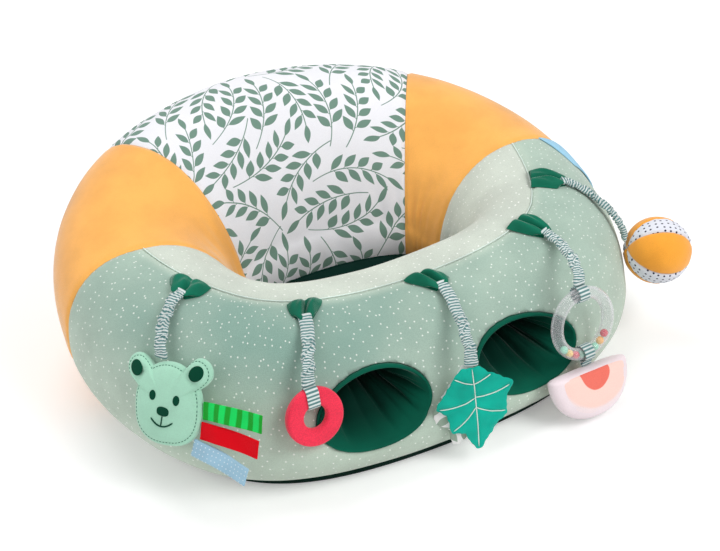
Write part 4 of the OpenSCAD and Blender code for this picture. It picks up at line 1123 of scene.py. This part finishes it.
def band(path, width, thick, place, name, node, key, body, closed=True, edge=0.35):
    """A flat ribbon that follows a path of (y, z) middle points, its width along X."""
    path = np.asarray(path, float)
    if closed:
        d = np.roll(path, -1, 0) - np.roll(path, 1, 0)
    else:
        d = np.gradient(path, axis=0)
    nrm = unit(np.stack([-d[:, 1], d[:, 0]], -1))
    run = runs(path)
    half, h = width / 2, thick / 2
    cross = [(-half + edge, -h), (-half, -h * 0.4), (-half, h * 0.4), (-half + edge, h)]
    cross += [(x, h) for x in np.linspace(-half + 2, half - 2, 5)]
    cross += [(-x, -y) for x, y in cross]
    x, off = np.array(cross).T
    rings = [place(vec(x, p[0] + q[0] * off, p[1] + q[1] * off)) for p, q in zip(path, nrm)]
    uv = np.concatenate([vec(x + half, r) for r in run])
    if not closed:
        uv = np.concatenate([uv, uv[:1], uv[-len(x) : len(uv) - len(x) + 1]])
    obj = add_mesh(name, *(torus_grid if closed else loft)(rings), M[key], body, uv, node=node)
    length = run[-1] + (np.linalg.norm(path[0] - path[-1]) if closed else 0)
    declare_sheet((width, length), "folded")


def stadium(half_y, r, y0):
    """Points round two half circles of radius r, half_y each way from y0."""
    pts = []
    for way in (1, -1):
        pts += [(y0 + way * (half_y + r * cs(a)), way * r * sn(a))
                for a in np.linspace(-90, 90, 18)]
        pts += [(y0 + way * y, way * r) for y in np.linspace(half_y, -half_y, 10)[1:-1]]
    return pts


def loop_drop(r):
    return r - math.sqrt(r * r - RIBBON_W**2 / 4)


TEETHER_Y = -TOY_TOP - RIBBON_THICK - GAP - TEETHER_R
loop_z = TEETHER_THICK / 2 + GAP
loop_top = TEETHER_R + GAP
loop_foot = TEETHER_HOLE - loop_drop(TEETHER_HOLE) - GAP
loop_run = (loop_top - loop_foot) / 2 - loop_z
band(stadium(loop_run, loop_z + RIBBON_THICK / 2, TEETHER_Y + (loop_top + loop_foot) / 2),
     RIBBON_W, 1.3, HANG[1], "teether_ribbon", "teether_loop", "webbing", "teether_loop")

RATTLE_MID = RATTLE_R - TUBE_R
LOOP_IN = TUBE_R + GAP + loop_drop(RATTLE_MID)
LOOP_OUT, LOOP_MID = LOOP_IN + RIBBON_THICK, LOOP_IN + 0.8
RATTLE_Y = -TOY_TOP - LOOP_OUT - RATTLE_MID
FRUIT_Y = RATTLE_Y - RATTLE_MID - LOOP_OUT - 4


def arc(angles, y0):
    return [(y0 + LOOP_MID * cs(a), LOOP_MID * sn(a)) for a in angles]


band(arc(np.arange(48) * 7.5, RATTLE_Y + RATTLE_MID), RIBBON_W, 1.3, HANG[3],
     "rattle_ribbon", "rattle_loop", "webbing", "rattle_loop")


def fruit_loop():
    """A loop round the ring whose two ends run down together to the slice."""
    pts = arc(np.linspace(-166, 166, 47), RATTLE_Y - RATTLE_MID)
    top, z = pts[-1]
    drop = [(mix(top, FRUIT_Y, k), z * (1 - k) ** 1.5 + 0.75) for k in np.linspace(0, 1, 7)[1:]]
    path = pts + drop + [(FRUIT_Y - 0.7, 0.0)] + [(y, -z) for y, z in drop[::-1]]
    band(path, RIBBON_W, 1.2, HANG[3], "fruit_ribbon", "fruit_loop", "webbing",
         "fruit_loop")


fruit_loop()

# ---------------------------------------------------------------- stuffed toys


def pillow_rows(thick, fullness, steps):
    a = np.linspace(-84, 84, 2 * steps + 1)
    return cs(a) ** fullness, thick / 2 * sn(a)


def pillow_height(share, thick, fullness):
    """Height of a pillow's face where a ray's share of the way to its edge is given."""
    c = np.clip(share, 0, 1) ** (1 / fullness)
    return thick / 2 * np.sqrt(1 - np.clip(c, 0, 1) ** 2)


def oval_exit(a, rx, ry, full):
    return (np.abs(cs(a) / rx) ** full + np.abs(sn(a) / ry) ** full) ** (-1 / full)


def circle_exit(a, c, r):
    along = c[0] * cs(a) + c[1] * sn(a)
    off2 = c[0] ** 2 + c[1] ** 2 - along**2
    return np.where((off2 < r * r) & (along > 0),
                    along + np.sqrt(np.maximum(r * r - off2, 0)), 0)


def polar(r, a):
    return vec(r * cs(a), r * sn(a))


def spun(x, y, a):
    """Turned by a in the plane."""
    return x * cs(a) - y * sn(a), x * sn(a) + y * cs(a)


def stuffed(outline, middle, thick, fullness, steps, place, name, node, mats, face):
    """Closed pillow with rows that bunch towards its seam and its middle."""
    def row(share, z):
        return vec(*(middle + (outline - middle) * share).T, z)

    f, z = pillow_rows(thick, fullness, steps)
    # Fill each face with rings down to a point
    inner = [row(f[-1] * k, float(pillow_height(np.array(f[-1] * k), thick, fullness)))
             for k in (0.8, 0.6, 0.42, 0.26, 0.12)]
    low = [r * [1, 1, -1] for r in inner[::-1]]
    verts, faces = loft(face(np.array(low + [row(*at) for at in zip(f, z)] + inner)))
    obj = add_mesh(name, place(verts), faces, mats, node, verts[:, :2], node=node)
    return obj


EAR_AT, EAR_REACH, HEAD_TURN, HEAD_FULL = 47, HEAD_H + 7, 10, 0.55
HEAD_MID = np.array([HEAD_W / 2, -TOY_TOP - 0.97 * HEAD_H])
PATCH_LIFT, STITCH_INSET, STITCH_LEN, STITCH_GAP = 0.45, 3.2, 2.2, 1.2


def ear_place(side):
    return EAR_REACH * np.array([side * sn(EAR_AT), cs(EAR_AT)])


def head_radius(a):
    face = np.where(a % 360 > 180, oval_exit(a, HEAD_W, HEAD_H, 2.6),
                    oval_exit(a, HEAD_W, HEAD_H, 2.0))
    ears = [circle_exit(a, ear_place(side), EAR_R) for side in (-1, 1)]
    return np.maximum(face, np.maximum(*ears))


def head_edge(a):
    """The head's edge with the sharp joins at the ears eased a little."""
    r = head_radius(a)
    out = 0
    for d, w in ((-3, 0.15), (-1.5, 0.2), (0, 0.3), (1.5, 0.2), (3, 0.15)):
        out = out + w * head_radius(a + d)
    return np.minimum(np.maximum(out, r - 3), r + 0.2)


def from_head(d):
    """Angle round the head's middle and distance from it."""
    return (np.degrees(np.arctan2(d[..., 1], d[..., 0])) - HEAD_TURN,
            np.hypot(d[..., 0], d[..., 1]))


def head_shape(rings):
    """Pinch along the seam and soft dents where the ears join."""
    out, z = rings.copy(), rings[..., 2]
    d = rings[..., :2] - HEAD_MID
    a, r = from_head(d)
    join = 0
    for side in (-1, 1):
        ex, ey = spun(*ear_place(side), HEAD_TURN)
        along = (d[..., 0] * ex + d[..., 1] * ey) / EAR_REACH
        across = np.abs(d[..., 0] * ey - d[..., 1] * ex) / EAR_REACH
        join = join + bump_at(along - (HEAD_H - 1), 3.0) * np.clip(1 - across / 15, 0, 1)
    stitch = bump_at(head_edge(a) - r - STITCH_INSET, 1.3)
    out[..., 2] -= np.sign(z) * np.minimum(np.abs(z) * 0.6, 3.2 * join + 0.9 * stitch)
    out[..., 2] += 0.5 * noise3(rings, 14, 2)
    return out


def on_head(x, y, lift=0.0):
    """Points on the head's front."""
    a, r = from_head(vec(x, y) - HEAD_MID)
    z = pillow_height(r / head_edge(a), HEAD_THICK, HEAD_FULL)
    return vec(x, y, z + 0.5 * noise3(vec(x, y, z), 14, 2) + lift)


def on_face(x, y, lift=0.0):
    """Points on the head's front from coordinates that stand upright on its face."""
    return on_head(*(HEAD_MID + vec(*spun(x, y, HEAD_TURN * 0.4))).T, lift)


def head_patch(name, cx, cy, rx, ry, turn=0.0, power=2.0):
    """A flat felt piece sewn on the face, following it."""
    a = np.arange(0, 360, 7.5)
    rad = oval_exit(a, 1, 1, power)
    top, low = [], []
    for k in (1.0, 0.97, 0.8, 0.55, 0.28):
        x, y = spun(rx * k * rad * cs(a), ry * k * rad * sn(a), turn)
        top.append(on_face(cx + x, cy + y, PATCH_LIFT * (0.15 if k == 1.0 else 1.0)))
        low.append(on_face(cx + x, cy + y, -0.6))
    verts, faces = loft(low[::-1] + top)
    add_mesh(name, HANG[0](verts), faces, M["face"], "animal_head")


def tube(points, radius, sides=8):
    """A thin round thread through points, tapered at both ends."""
    p = np.asarray(points, float)
    t = unit(np.gradient(p, axis=0))
    n1 = unit(np.cross(t, [0.13, 0.21, 1.0]))
    n2 = np.cross(t, n1)
    a = np.arange(sides)[:, None] * 360 / sides
    end = np.minimum(np.arange(len(p)), np.arange(len(p))[::-1])
    r = radius * np.array([0.35, 0.8, 1.0])[np.minimum(end, 2)]
    return loft([p[j] + r[j] * (cs(a) * n1[j] + sn(a) * n2[j]) for j in range(len(p))])


def stitched(points, radius):
    """Short thread stitches along a line of points."""
    run, parts, at = runs(points), [], 0.0
    while at + STITCH_LEN < run[-1]:
        u = np.linspace(at, at + STITCH_LEN, 6)
        parts.append(tube(vec(*(np.interp(u, run, q) for q in points.T)), radius, 6))
        at += STITCH_LEN + STITCH_GAP
    return join_meshes(parts)


def head():
    a = np.arange(0, 360, 1.5)
    outline = HEAD_MID + polar(head_edge(a), a + HEAD_TURN)
    stuffed(outline, HEAD_MID, HEAD_THICK, HEAD_FULL, 16, HANG[0], "stuffed_head",
            "animal_head", M["mint"], head_shape)
    head_patch("eye_left", -13, 6, 3.4, 4.6)
    head_patch("eye_right", 13, 6, 3.4, 4.6)
    head_patch("nose", 0, -6.5, 6.6, 4.2, power=2.6)
    for name, side in (("left", -1), ("right", 1)):
        ex, ey = spun(*ear_place(side), HEAD_TURN * 0.6)
        head_patch(f"inner_ear_{name}", ex * 0.98, ey * 0.98, 6.6, 7.6, turn=-side * 40)
    x, y = np.linspace(-12, 12, 40), np.linspace(-10.5, -19.8, 10)
    smile = on_face(x, -14.5 - 5.5 * (1 - (x / 12.0) ** 2), 0.35)
    stem = on_face(0 * y, y, 0.35)
    lines = [tube(HANG[0](smile), 0.75), tube(HANG[0](stem), 0.6)]
    add_mesh("smile_thread", *join_meshes(lines), M["face"], "animal_head")
    edge = on_head(*(HEAD_MID + polar(head_edge(a) - STITCH_INSET, a + HEAD_TURN)).T, -0.62)
    add_mesh("head_stitching", *stitched(HANG[0](np.concatenate([edge, edge[:2]])), 0.34),
             M["thread_dark"], "animal_head")


head()

# Height and turn of each ribbon tag
TAGS = [(4, 7), (-14, 3), (-31, -6)]
TAG_LEN, TAG_W, TAG_THICK, TAG_HALF = 60, 16, 2.4, 0.62


def tag_root(y, turn):
    b = np.arange(-90, 31, 2.0)
    cheek = polar(head_radius(b % 360), b + HEAD_TURN) - [0, y]
    near = cheek[np.abs(cheek[:, 1]) < TAG_W * 0.6]
    turn = math.radians(turn)
    reach = (near[:, 0] + near[:, 1] * math.tan(turn)).max()
    return HEAD_MID + [reach + (2 * GAP + TAG_THICK / 2) / math.cos(turn), y]


def tag(k, colour):
    """A folded ribbon: two layers that part a little and meet in a soft fold."""
    y, turn = TAGS[k]
    root = tag_root(y, turn)

    def place(pts):
        # band() gives its width along X and its path in YZ
        q = np.stack([pts[:, 1], pts[:, 0], pts[:, 2]], -1)
        far = np.clip(q[:, 0] / TAG_LEN, 0, 1)
        wave = 1.2 * np.sin(q[:, 0] / 11.0 + k) * np.clip(q[:, 0] / 20, 0, 1)
        q[:, 2] += wave + 0.5 * np.sin(q[:, 1] / 4.0 + q[:, 0] / 9.0) + 2.0 * far**2
        q[:, 1] -= 2.5 * far**2
        return HANG[0](turned(q, z=turn) + [*root, 0])

    upper = [(x, TAG_HALF * (1 + 0.25 * math.sin(x / 8.0)))
             for x in np.linspace(-1.0, TAG_LEN - 1.2, 44)]
    upper.append((TAG_LEN - 0.2, 0.35))
    path = upper + [(TAG_LEN, 0.0)] + [(x, -z) for x, z in upper[::-1]]
    node = f"ribbon_{colour}"
    band(path, TAG_W, 0.9, place, f"tag_{colour}", node, colour, node,
         False, 0.3)


for k, colour in enumerate(("green", "red", "blue")):
    tag(k, colour)


def lathe(profile, steps):
    """Ring turned about Z through a closed profile of (r, z)."""
    r, z = np.asarray(profile, float).T
    return torus_grid([vec(*polar(r, x).T, z) for x in np.arange(steps) * 360 / steps])


def teether():
    """Flat ring with round edges."""
    mid, half_x = (TEETHER_R + TEETHER_HOLE) / 2, (TEETHER_R - TEETHER_HOLE) / 2
    half_z, r = TEETHER_THICK / 2, 2.9
    corners = ((1, 1, 0), (-1, 1, 90), (-1, -1, 180), (1, -1, 270))
    verts, faces = lathe([
        (mid + x * (half_x - r) + r * cs(b), z * (half_z - r) + r * sn(b))
        for x, z, start in corners for b in np.linspace(start, start + 90, 7)], 128)
    add_mesh("teether", HANG[1](verts + [0, TEETHER_Y, 0]), faces, M["teether"],
             "teether_ring", node="teether_ring")


teether()

# ---------------------------------------------------------------- rattle

BEAD_COLOURS = [(150, 226, 196), (250, 208, 110), (226, 70, 88), (150, 226, 196),
                (246, 178, 70), (150, 226, 196), (248, 184, 84), (214, 40, 66)]


def globe(r, reach, rows, sides, seam=0.0, flat=1.0):
    """Ball of radius r, made flatter by flat, with a raised seam round its middle."""
    lon = np.arange(sides) * 360 / sides
    return loft([vec(*polar(r * cs(b) * (1 + seam * bump_at(b, 6.0)), lon).T, flat * r * sn(b))
                 for b in np.linspace(-reach, reach, rows)])


def rattle():
    a = np.arange(36) * 10
    tubes = [lathe(vec(RATTLE_MID + r * cs(a), r * sn(a)), 144)
             for r in (TUBE_R, TUBE_R - TUBE_WALL)]
    tubes[1] = (tubes[1][0], [q[::-1] for q in tubes[1][1]])
    orbit = RATTLE_MID + TUBE_R - TUBE_WALL - BEAD_R - 0.3
    pitch = 2 * math.degrees(math.asin((BEAD_R + 0.1) / orbit))
    beads, slots = [], []
    for i in range(BEADS):
        ang = -90 + (i - (BEADS - 1) / 2) * pitch
        v, f = globe(BEAD_R, 86, 21, 28, 0.012, 0.97)
        beads.append((turned(v, x=35 * i, y=20) + [*polar(orbit, ang), 0], f))
        slots += [i] * len(f)
    mats = [plastic(f"bead {k + 1}", c, 0.25, 0.3) for k, c in enumerate(BEAD_COLOURS)]
    for name, node, parts, look, by_face in (
            ("rattle_tube", "rattle_ring", tubes, M["clear"], None),
            ("beads", "rattle_beads", beads, mats, slots)):
        verts, faces = join_meshes(parts)
        add_mesh(name, HANG[3](verts + [0, RATTLE_Y, 0]), faces, look, node,
                 face_slots=by_face, node=node)


rattle()

# ---------------------------------------------------------------- leaf

LEAF = np.array([
    (-0.10, 0), (-0.22, -0.11), (-0.25, -0.19), (-0.33, -0.29), (-0.42, -0.42),
    (-0.43, -0.47), (-0.31, -0.55), (-0.29, -0.73), (-0.26, -0.77), (-0.12, -0.8),
    (-0.07, -0.9), (-0.01, -1), (0.05, -1), (0.13, -0.88), (0.22, -0.75),
    (0.36, -0.6), (0.37, -0.55), (0.36, -0.4), (0.44, -0.27), (0.44, -0.2),
    (0.18, -0.07), (0.1, 0)])
LEAF_MID = np.array([0, -0.48 * LEAF_H])
LEAF_DROP, LEAF_POINTS, LEAF_FULL = TOY_TOP + 0.6, 240, 0.55
# Veins: from and to, as shares of the leaf's height, and how far each bows
VEINS = [((0.0, -0.02), (0.02, -0.97), 0.01), ((0.0, -0.20), (-0.20, -0.12), 0.04),
         ((0.0, -0.20), (0.20, -0.10), -0.04), ((0.01, -0.37), (-0.39, -0.46), 0.08),
         ((0.01, -0.36), (0.40, -0.25), -0.07), ((0.015, -0.48), (-0.25, -0.74), 0.05),
         ((0.015, -0.48), (0.34, -0.56), -0.08)]
VEIN_DEEP, VEIN_RAISED, VEIN_R = 1.5, 0.7, 0.5


def leaf_turned(p, lean):
    return vec(*spun(*p.T, lean)) - [0, LEAF_DROP]


def smooth_outline(points, count):
    """Outline resampled evenly, with its corners eased."""
    p = np.concatenate([points, points[:1]])
    run = runs(p)
    u = np.linspace(0, run[-1], count + 1)[:-1]
    q = vec(*(np.interp(u, run, v) for v in p.T))
    for _ in range(2):
        q = 0.5 * q + 0.25 * np.roll(q, 1, 0) + 0.25 * np.roll(q, -1, 0)
    return q


def vein_line(start, end, bow):
    (ax, ay), (bx, by) = start, end
    k = np.linspace(0, 1, 26)
    arch = bow * 4 * k * (1 - k)
    return vec(mix(ax, bx, k) - (by - ay) * arch, mix(ay, by, k) + (bx - ax) * arch)


def leaf_wave(p, seed):
    """Soft waves and small creases of the leaf's cloth, none beside its root."""
    x, y, flat = p[..., 0], p[..., 1], p * [1, 1, 0]
    crease = 0.55 * np.sin((x * 0.8 - y * 0.55) / 1.9 + 2.2 * noise3(flat, 15, 2))
    wave = 1.3 * noise3(flat, 26, seed) + 0.6 * noise3(flat, 10, 3)
    wave = np.clip(wave + crease * np.clip(noise3(flat, 18, 5), 0, 1), -1.0, 1.5)
    return wave * np.clip(np.hypot(x, y + LEAF_DROP) / 12, 0, 1)


def leaf(name, node, key, size, lean, z0, thick, veins, seed, shrunk=1.0):
    """One stuffed layer. shrunk draws in its upper left lobe, behind the front one."""
    lobes = LEAF.copy()
    lobes[1:6, 0] *= shrunk
    outline = smooth_outline(leaf_turned(lobes * size, lean), LEAF_POINTS)
    a = np.arange(LEAF_POINTS) * 360 / LEAF_POINTS
    frill = 0.35 * sn(31 * a) + 0.5 * sn(13 * a)
    outline = outline + unit(outline - LEAF_MID) * frill[:, None]
    lines = [leaf_turned(vein_line(*v) * size, lean) for v in veins]

    def shape(rings):
        out, z, dip = rings.copy(), rings[..., 2], 0 * rings[..., 2]
        for line in lines:
            d2 = ((rings[..., None, :2] - line) ** 2).sum(-1).min(-1)
            dip = np.maximum(dip, np.exp(-d2 / 2.6))
        out[..., 2] -= np.sign(z) * np.minimum(np.abs(z) * 0.7, VEIN_DEEP * dip)
        out[..., 2] += leaf_wave(rings, seed)
        return out

    def place(p):
        return HANG[2](p + [0, 0, z0])

    stuffed(outline, LEAF_MID, thick, LEAF_FULL, 18, place, name, node, M[key], shape)
    threads, (ox, oy) = [], (outline - LEAF_MID).T
    for line in lines:
        dx, dy = (line - LEAF_MID).T[..., None]
        away = np.arctan2(oy, ox) - np.arctan2(dy, dx)
        near = np.argmin(np.abs((away + PI) % (2 * PI) - PI), 1)
        share = np.hypot(dx, dy)[:, 0] / np.hypot(ox, oy)[near]
        z = pillow_height(np.minimum(share, 1), thick, LEAF_FULL)
        q = vec(*line.T, z)
        q[:, 2] += leaf_wave(q, seed) - np.minimum(z * 0.7, VEIN_DEEP) + VEIN_RAISED
        threads.append(tube(place(q), VEIN_R))
    if threads:
        add_mesh("leaf_veins", *join_meshes(threads), M["thread"], node)


leaf("leaf_cloth", "leaf_front", "leaf", LEAF_H, 2, LEAF_BACK / 2 + GAP / 2, LEAF_THICK,
     VEINS, 1)
leaf("leaf_lining", "leaf_back", "leafprint", 0.97 * LEAF_H, -13, -LEAF_THICK / 2 - GAP / 2,
     LEAF_BACK, [], 4, 0.62)

# ---------------------------------------------------------------- fruit slice


def fruit():
    a = np.arange(0, 360, 2.0)
    r = np.where(a > 180, oval_exit(a, FRUIT_R, FRUIT_H, 2.2),
                 oval_exit(a, FRUIT_R, FRUIT_EDGE, 4))
    outline = polar(r, a) + [FRUIT_SHIFT, FRUIT_TOP - FRUIT_EDGE]
    middle = np.array([FRUIT_SHIFT, FRUIT_TOP - 0.35 * FRUIT_H])
    rim = FRUIT_THICK / 2 * 0.80
    tilt, turn = -12, -2

    def place(p):
        return HANG[3](turned(p, x=tilt, z=turn) + [0, FRUIT_Y, 0])

    def shape(rings):
        out = rings.copy()
        seam = bump_at(np.abs(rings[..., 2]) - rim, 0.9)
        out[..., :2] -= (rings[..., :2] - middle) * (0.016 * seam)[..., None]
        out[..., 2] += 0.55 * noise3(rings, 13, 5)
        out[..., 2] *= np.where(rings[..., 2] < 0, 0.93, 1.0)
        return out

    obj = stuffed(outline, middle, FRUIT_THICK, 0.42, 18, place, "fruit_cushion",
                  "fruit_slice", [M["rind"], M["flesh"]], shape)
    # Flesh on both faces, rind round the edge
    h, mesh = HANG[3], obj.data
    centres = np.array([p.center for p in mesh.polygons]) / MM - h.p
    q = centres @ np.array([h.x, h.y, h.z]).T - [0, FRUIT_Y, 0]
    q = turned(turned(q, z=-turn), x=-tilt)
    mesh.polygons.foreach_set("material_index", (np.abs(q[:, 2]) > rim).astype(np.int32))


fruit()

# ---------------------------------------------------------------- ball

BALL_DROP = np.array([-2.5, -18.6, 33.4])
BALL_AT = unit(BALL_DROP) * (BALL_R + TOY_TOP + 0.2)
ORANGE_WIDE, DOTTED_WIDE, GORE_LEN = 80, 40, PI * BALL_R


def ball_axes():
    """The ball's axes: the first way faces the viewer, the last runs pole to pole."""
    pole = unit(np.array([0.893, -0.36, -0.18]))
    face = np.array([-0.22, -0.75, 0.33])
    e1 = unit(face - pole * (face @ pole))
    return np.array([e1, np.cross(pole, e1), pole])


BALL_AXES = ball_axes()
STRAP_SIDE = unit(HANG[4].p - HANG[4](BALL_AT))


def gores(name, node, key, start, wide):
    """Three padded gores, each pressed flat where the strap holds the ball."""
    parts, uvs = [], []
    lo, la = np.meshgrid(graded(0.3, wide - 0.3, 36, 0.6), graded(-89.0, 89.0, 56, 0.5),
                         indexing="ij")
    u, mm = lo / wide, PI / 180 * BALL_R
    for i in range(3):
        puff = (1 - np.abs(2 * u - 1) ** 3) * cs(la) ** 0.5
        edge = np.minimum(u, 1 - u) * wide * mm * cs(la)
        r = BALL_R - 1.3 * bump_at(edge, 1.7) - 0.35 + 0.45 * puff
        r = r + 0.25 * np.sin(la / 3.2 + 4 * u) * bump_at(edge - 2, 3)
        r = r + 0.35 * noise3(vec(lo, la, 0 * la + 9 * i), 22, 3)
        d = vec(cs(la) * cs(lo + 120.0 * i + start), cs(la) * sn(lo + 120.0 * i + start), sn(la))
        root = np.degrees(np.arccos(np.clip((d @ BALL_AXES) @ STRAP_SIDE, -1, 1)))
        r = np.maximum(r - 2.6 * bump_at(root, 17), BALL_R - 2.2)
        parts.append(shell(d * r[..., None], d * (BALL_R - 2.4)))
        flat = vec((lo - wide / 2) * mm * cs(la), la * mm + 37 * i)
        uvs.append(np.tile(flat.reshape(-1, 2), (2, 1)))
    verts, faces = join_meshes(parts)
    add_mesh(name, HANG[4](BALL_AT) + verts @ BALL_AXES, faces, M[key], "ball",
             np.concatenate(uvs), node=node)


gores("ball_orange", "ball_orange_gores", "orange_gore", -ORANGE_WIDE / 2, ORANGE_WIDE)
gores("ball_dotted", "ball_dotted_gores", "dot_gore", ORANGE_WIDE / 2, DOTTED_WIDE)


def ball_core():
    v, f = globe(BALL_R - 2.5 - COVER_GAP, 88, 40, 64)
    v = v * (1 - 0.004 * (1 + noise3(v, 12, 2)))[:, None]
    v = HANG[4](turned(v, x=18, y=62) + BALL_AT)
    add_mesh("ball_stuffing", v, f, M["rind"], "ball", node="ball_filling")


ball_core()

# ---------------------------------------------------------------- side flap and zip


def flap():
    s = graded(92, 104, 26)[:, None]
    t = mix(54, 73, (s - 92) / 12) - 32 * (1 - graded(0, 1, 60)[None, :])
    s = s + 0 * t
    p = on_ring(s, t)
    across, down = lengths(p, 0), lengths(p, 1)
    edge = np.minimum(np.minimum(across, across[-1:] - across),
                      np.minimum(down, down[:, -1:] - down))
    lift = 2.3 + 0.7 * noise3(p, 24, 2) - 0.8 * bump_at(edge - 3.2, 0.8)
    lift = lift - 0.8 * bump_at(edge, 1.2)
    uv = np.tile(vec(across, down).reshape(-1, 2), (2, 1))
    obj = add_mesh("flap_cloth", *shell(on_ring(s, t, lift), on_ring(s, t, 0.55)), M["flap"],
                   "side_flap", uv, node="side_flap")
    declare_sheet((across.max(), down.max()), "hung")


flap()


def zip_tape():
    """Woven tape on its arc, with a ribbed edge beside the teeth."""
    def wall(s, z):
        s = np.float64(s)
        return from_section(s, section_off(s, low_angle(s, z), COVER_GAP))

    (_, ya, _), (xb, yb, _) = wall(180, ZIP_Z), wall(160, ZIP_Z)
    axis_y = (ya**2 - xb**2 - yb**2) / (2 * (ya - yb))
    r = ya - axis_y - 0.4
    slope = math.atan((wall(180, ZIP_Z + 4)[1] - wall(180, ZIP_Z - 4)[1]) / 8)
    ang = np.linspace(ZIP_FROM, ZIP_TO, 160)[:, None]
    h = graded(-ZIP_HALF, ZIP_HALF, 30)[None, :]

    def at(depth):
        x = r + depth * math.cos(slope) + h * math.sin(slope)
        z = ZIP_Z - depth * math.sin(slope) + h * math.cos(slope)
        return vec(x * cs(ang), axis_y + x * sn(ang), z)

    rib = 0.18 * bump_at(np.abs(h) - 3.2, 0.5)
    obj = add_mesh("zip_cloth", *shell(at(0.82 + rib), at(0.05)), M["tape"], "seat",
                   node="zip_tape")
    arc_len = r * math.radians(ZIP_TO - ZIP_FROM)
    declare_sheet((2 * ZIP_HALF, arc_len), "stretched")


zip_tape()

for node, key in (("inflatable_ring", "vinyl"), ("air_valve", "valve"), ("valve_plug", "plug"),
                  ("zip_teeth", "teeth"), ("zip_slider", "zinc"), ("zip_pull", "zinc")):
    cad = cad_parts[node].data
    cad.materials.clear()
    cad.materials.append(M[key])
    cad.polygons.foreach_set("material_index", np.zeros(len(cad.polygons), np.int32))

# ---------------------------------------------------------------- flat sizes of the large pieces

COVERS = [f"cover_{k}" for k in ("front", "front_top", "side_left", "side_right", "back")]
LINING_FLAT = (320, 200)
for name, flat, held, rests in (
        *((name, FLAT[name], "stretched", "inflatable_ring") for name in COVERS),
        ("lining_left", LINING_FLAT, "gathered", "inflatable_ring"),
        ("lining_right", LINING_FLAT, "gathered", "inflatable_ring"),
        ("base_cloth", FLAT["base_cloth"], "laid", "floor"),
        ("ball_orange", (3 * GORE_LEN * ORANGE_WIDE / 180, GORE_LEN), "stretched",
         "ball_stuffing"),
        ("ball_dotted", (3 * GORE_LEN * DOTTED_WIDE / 180, GORE_LEN), "stretched",
         "ball_stuffing")):
    declare_sheet(flat, held)

# ---------------------------------------------------------------- camera and light

SEAT_MIDDLE = np.array([0, 0, 0.1])


def stand(data, at, x, y, z):
    """Put a camera or a light at a place in metres, looking along -z."""
    obj = bpy.data.objects.new(data.name, data)
    bpy.context.scene.collection.objects.link(obj)
    obj.matrix_world = Matrix([list(row) for row in np.array([x, y, z, at]).T] + [[0, 0, 0, 1]])
    return obj


def camera():
    """The photograph's camera, as it was solved."""
    az, el, roll, dist = -26.6, 31.6, -2.66, 1.280
    back = np.array([sn(az) * cs(el), -cs(az) * cs(el), sn(el)])
    right = np.array([cs(az), sn(az), 0])
    above = np.cross(back, right)
    data = bpy.data.cameras.new("camera")
    data.lens, data.sensor_width = 59.93, 36
    data.shift_x, data.shift_y = 0.0078, -0.0156
    data.clip_start, data.clip_end = 0.05, 40
    bpy.context.scene.camera = stand(
        data, SEAT_MIDDLE + dist * back, right * cs(roll) + above * sn(roll),
        above * cs(roll) - right * sn(roll), back)


def area_light(name, at, aim, size, power):
    data = bpy.data.lights.new(name, "AREA")
    data.shape, data.size, data.energy = "DISK", size, power
    z = unit(np.array(at, float) - np.array(aim, float))
    x = unit(np.cross(UP, z))
    stand(data, at, x, np.cross(z, x), z)


camera()
area_light("key", (0.9, -1.5, 1.7), SEAT_MIDDLE, 1.4, 27)
area_light("fill", (-1.7, -0.5, 1.1), SEAT_MIDDLE, 1.6, 8)
area_light("top", (-0.2, 0.9, 2.0), (0, 0.1, 0.1), 1.6, 18)

WHITE, BLACK = (1, 1, 1, 1), (0, 0, 0, 1)
world = bpy.data.worlds.new("studio")
bpy.context.scene.world = world
world.use_nodes = True
wt = Tree(world.node_tree)
sky = world.node_tree.nodes["Background"].inputs
wt.put(sky["Strength"], wt.seen() * 0.55 + 0.45)
wt.put(sky["Color"], WHITE)


def floor():
    """White floor that glows where a picture or a reflection shows it, more further out."""
    m = material("studio floor", lambda t: {
        "Base Color": t.mix(t.noise(t.place(), 3.0), (0.88, 0.88, 0.88, 1), (0.9, 0.9, 0.9, 1)),
        "Roughness": 0.9, "Specular IOR Level": 0.1})
    t, nodes = Tree(m.node_tree), m.node_tree.nodes
    away = t.ramp(t.length(t.place()), 0.6, 1.8, 0.22, 1.0)
    glow = t.node("Emission", {"Color": WHITE, "Strength": away})
    none = t.node("Emission", {"Color": BLACK, "Strength": 0.0})
    extra = t.node("MixShader", {0: t.seen(), 1: none.outputs[0], 2: glow.outputs[0]})
    both = t.node("AddShader", {0: nodes["Principled BSDF"].outputs[0], 1: extra.outputs[0]})
    t.put(nodes["Material Output"].inputs["Surface"], both.outputs[0])
    r, z = 30.0, -0.0003
    verts = np.array([(-r, -r, z), (r, -r, z), (r, r, z), (-r, r, z)]) / MM
    add_mesh("floor", verts, [[0, 1, 2, 3]], m, None, smooth=False)


floor()
bpy.context.scene.view_settings.view_transform = "Standard"
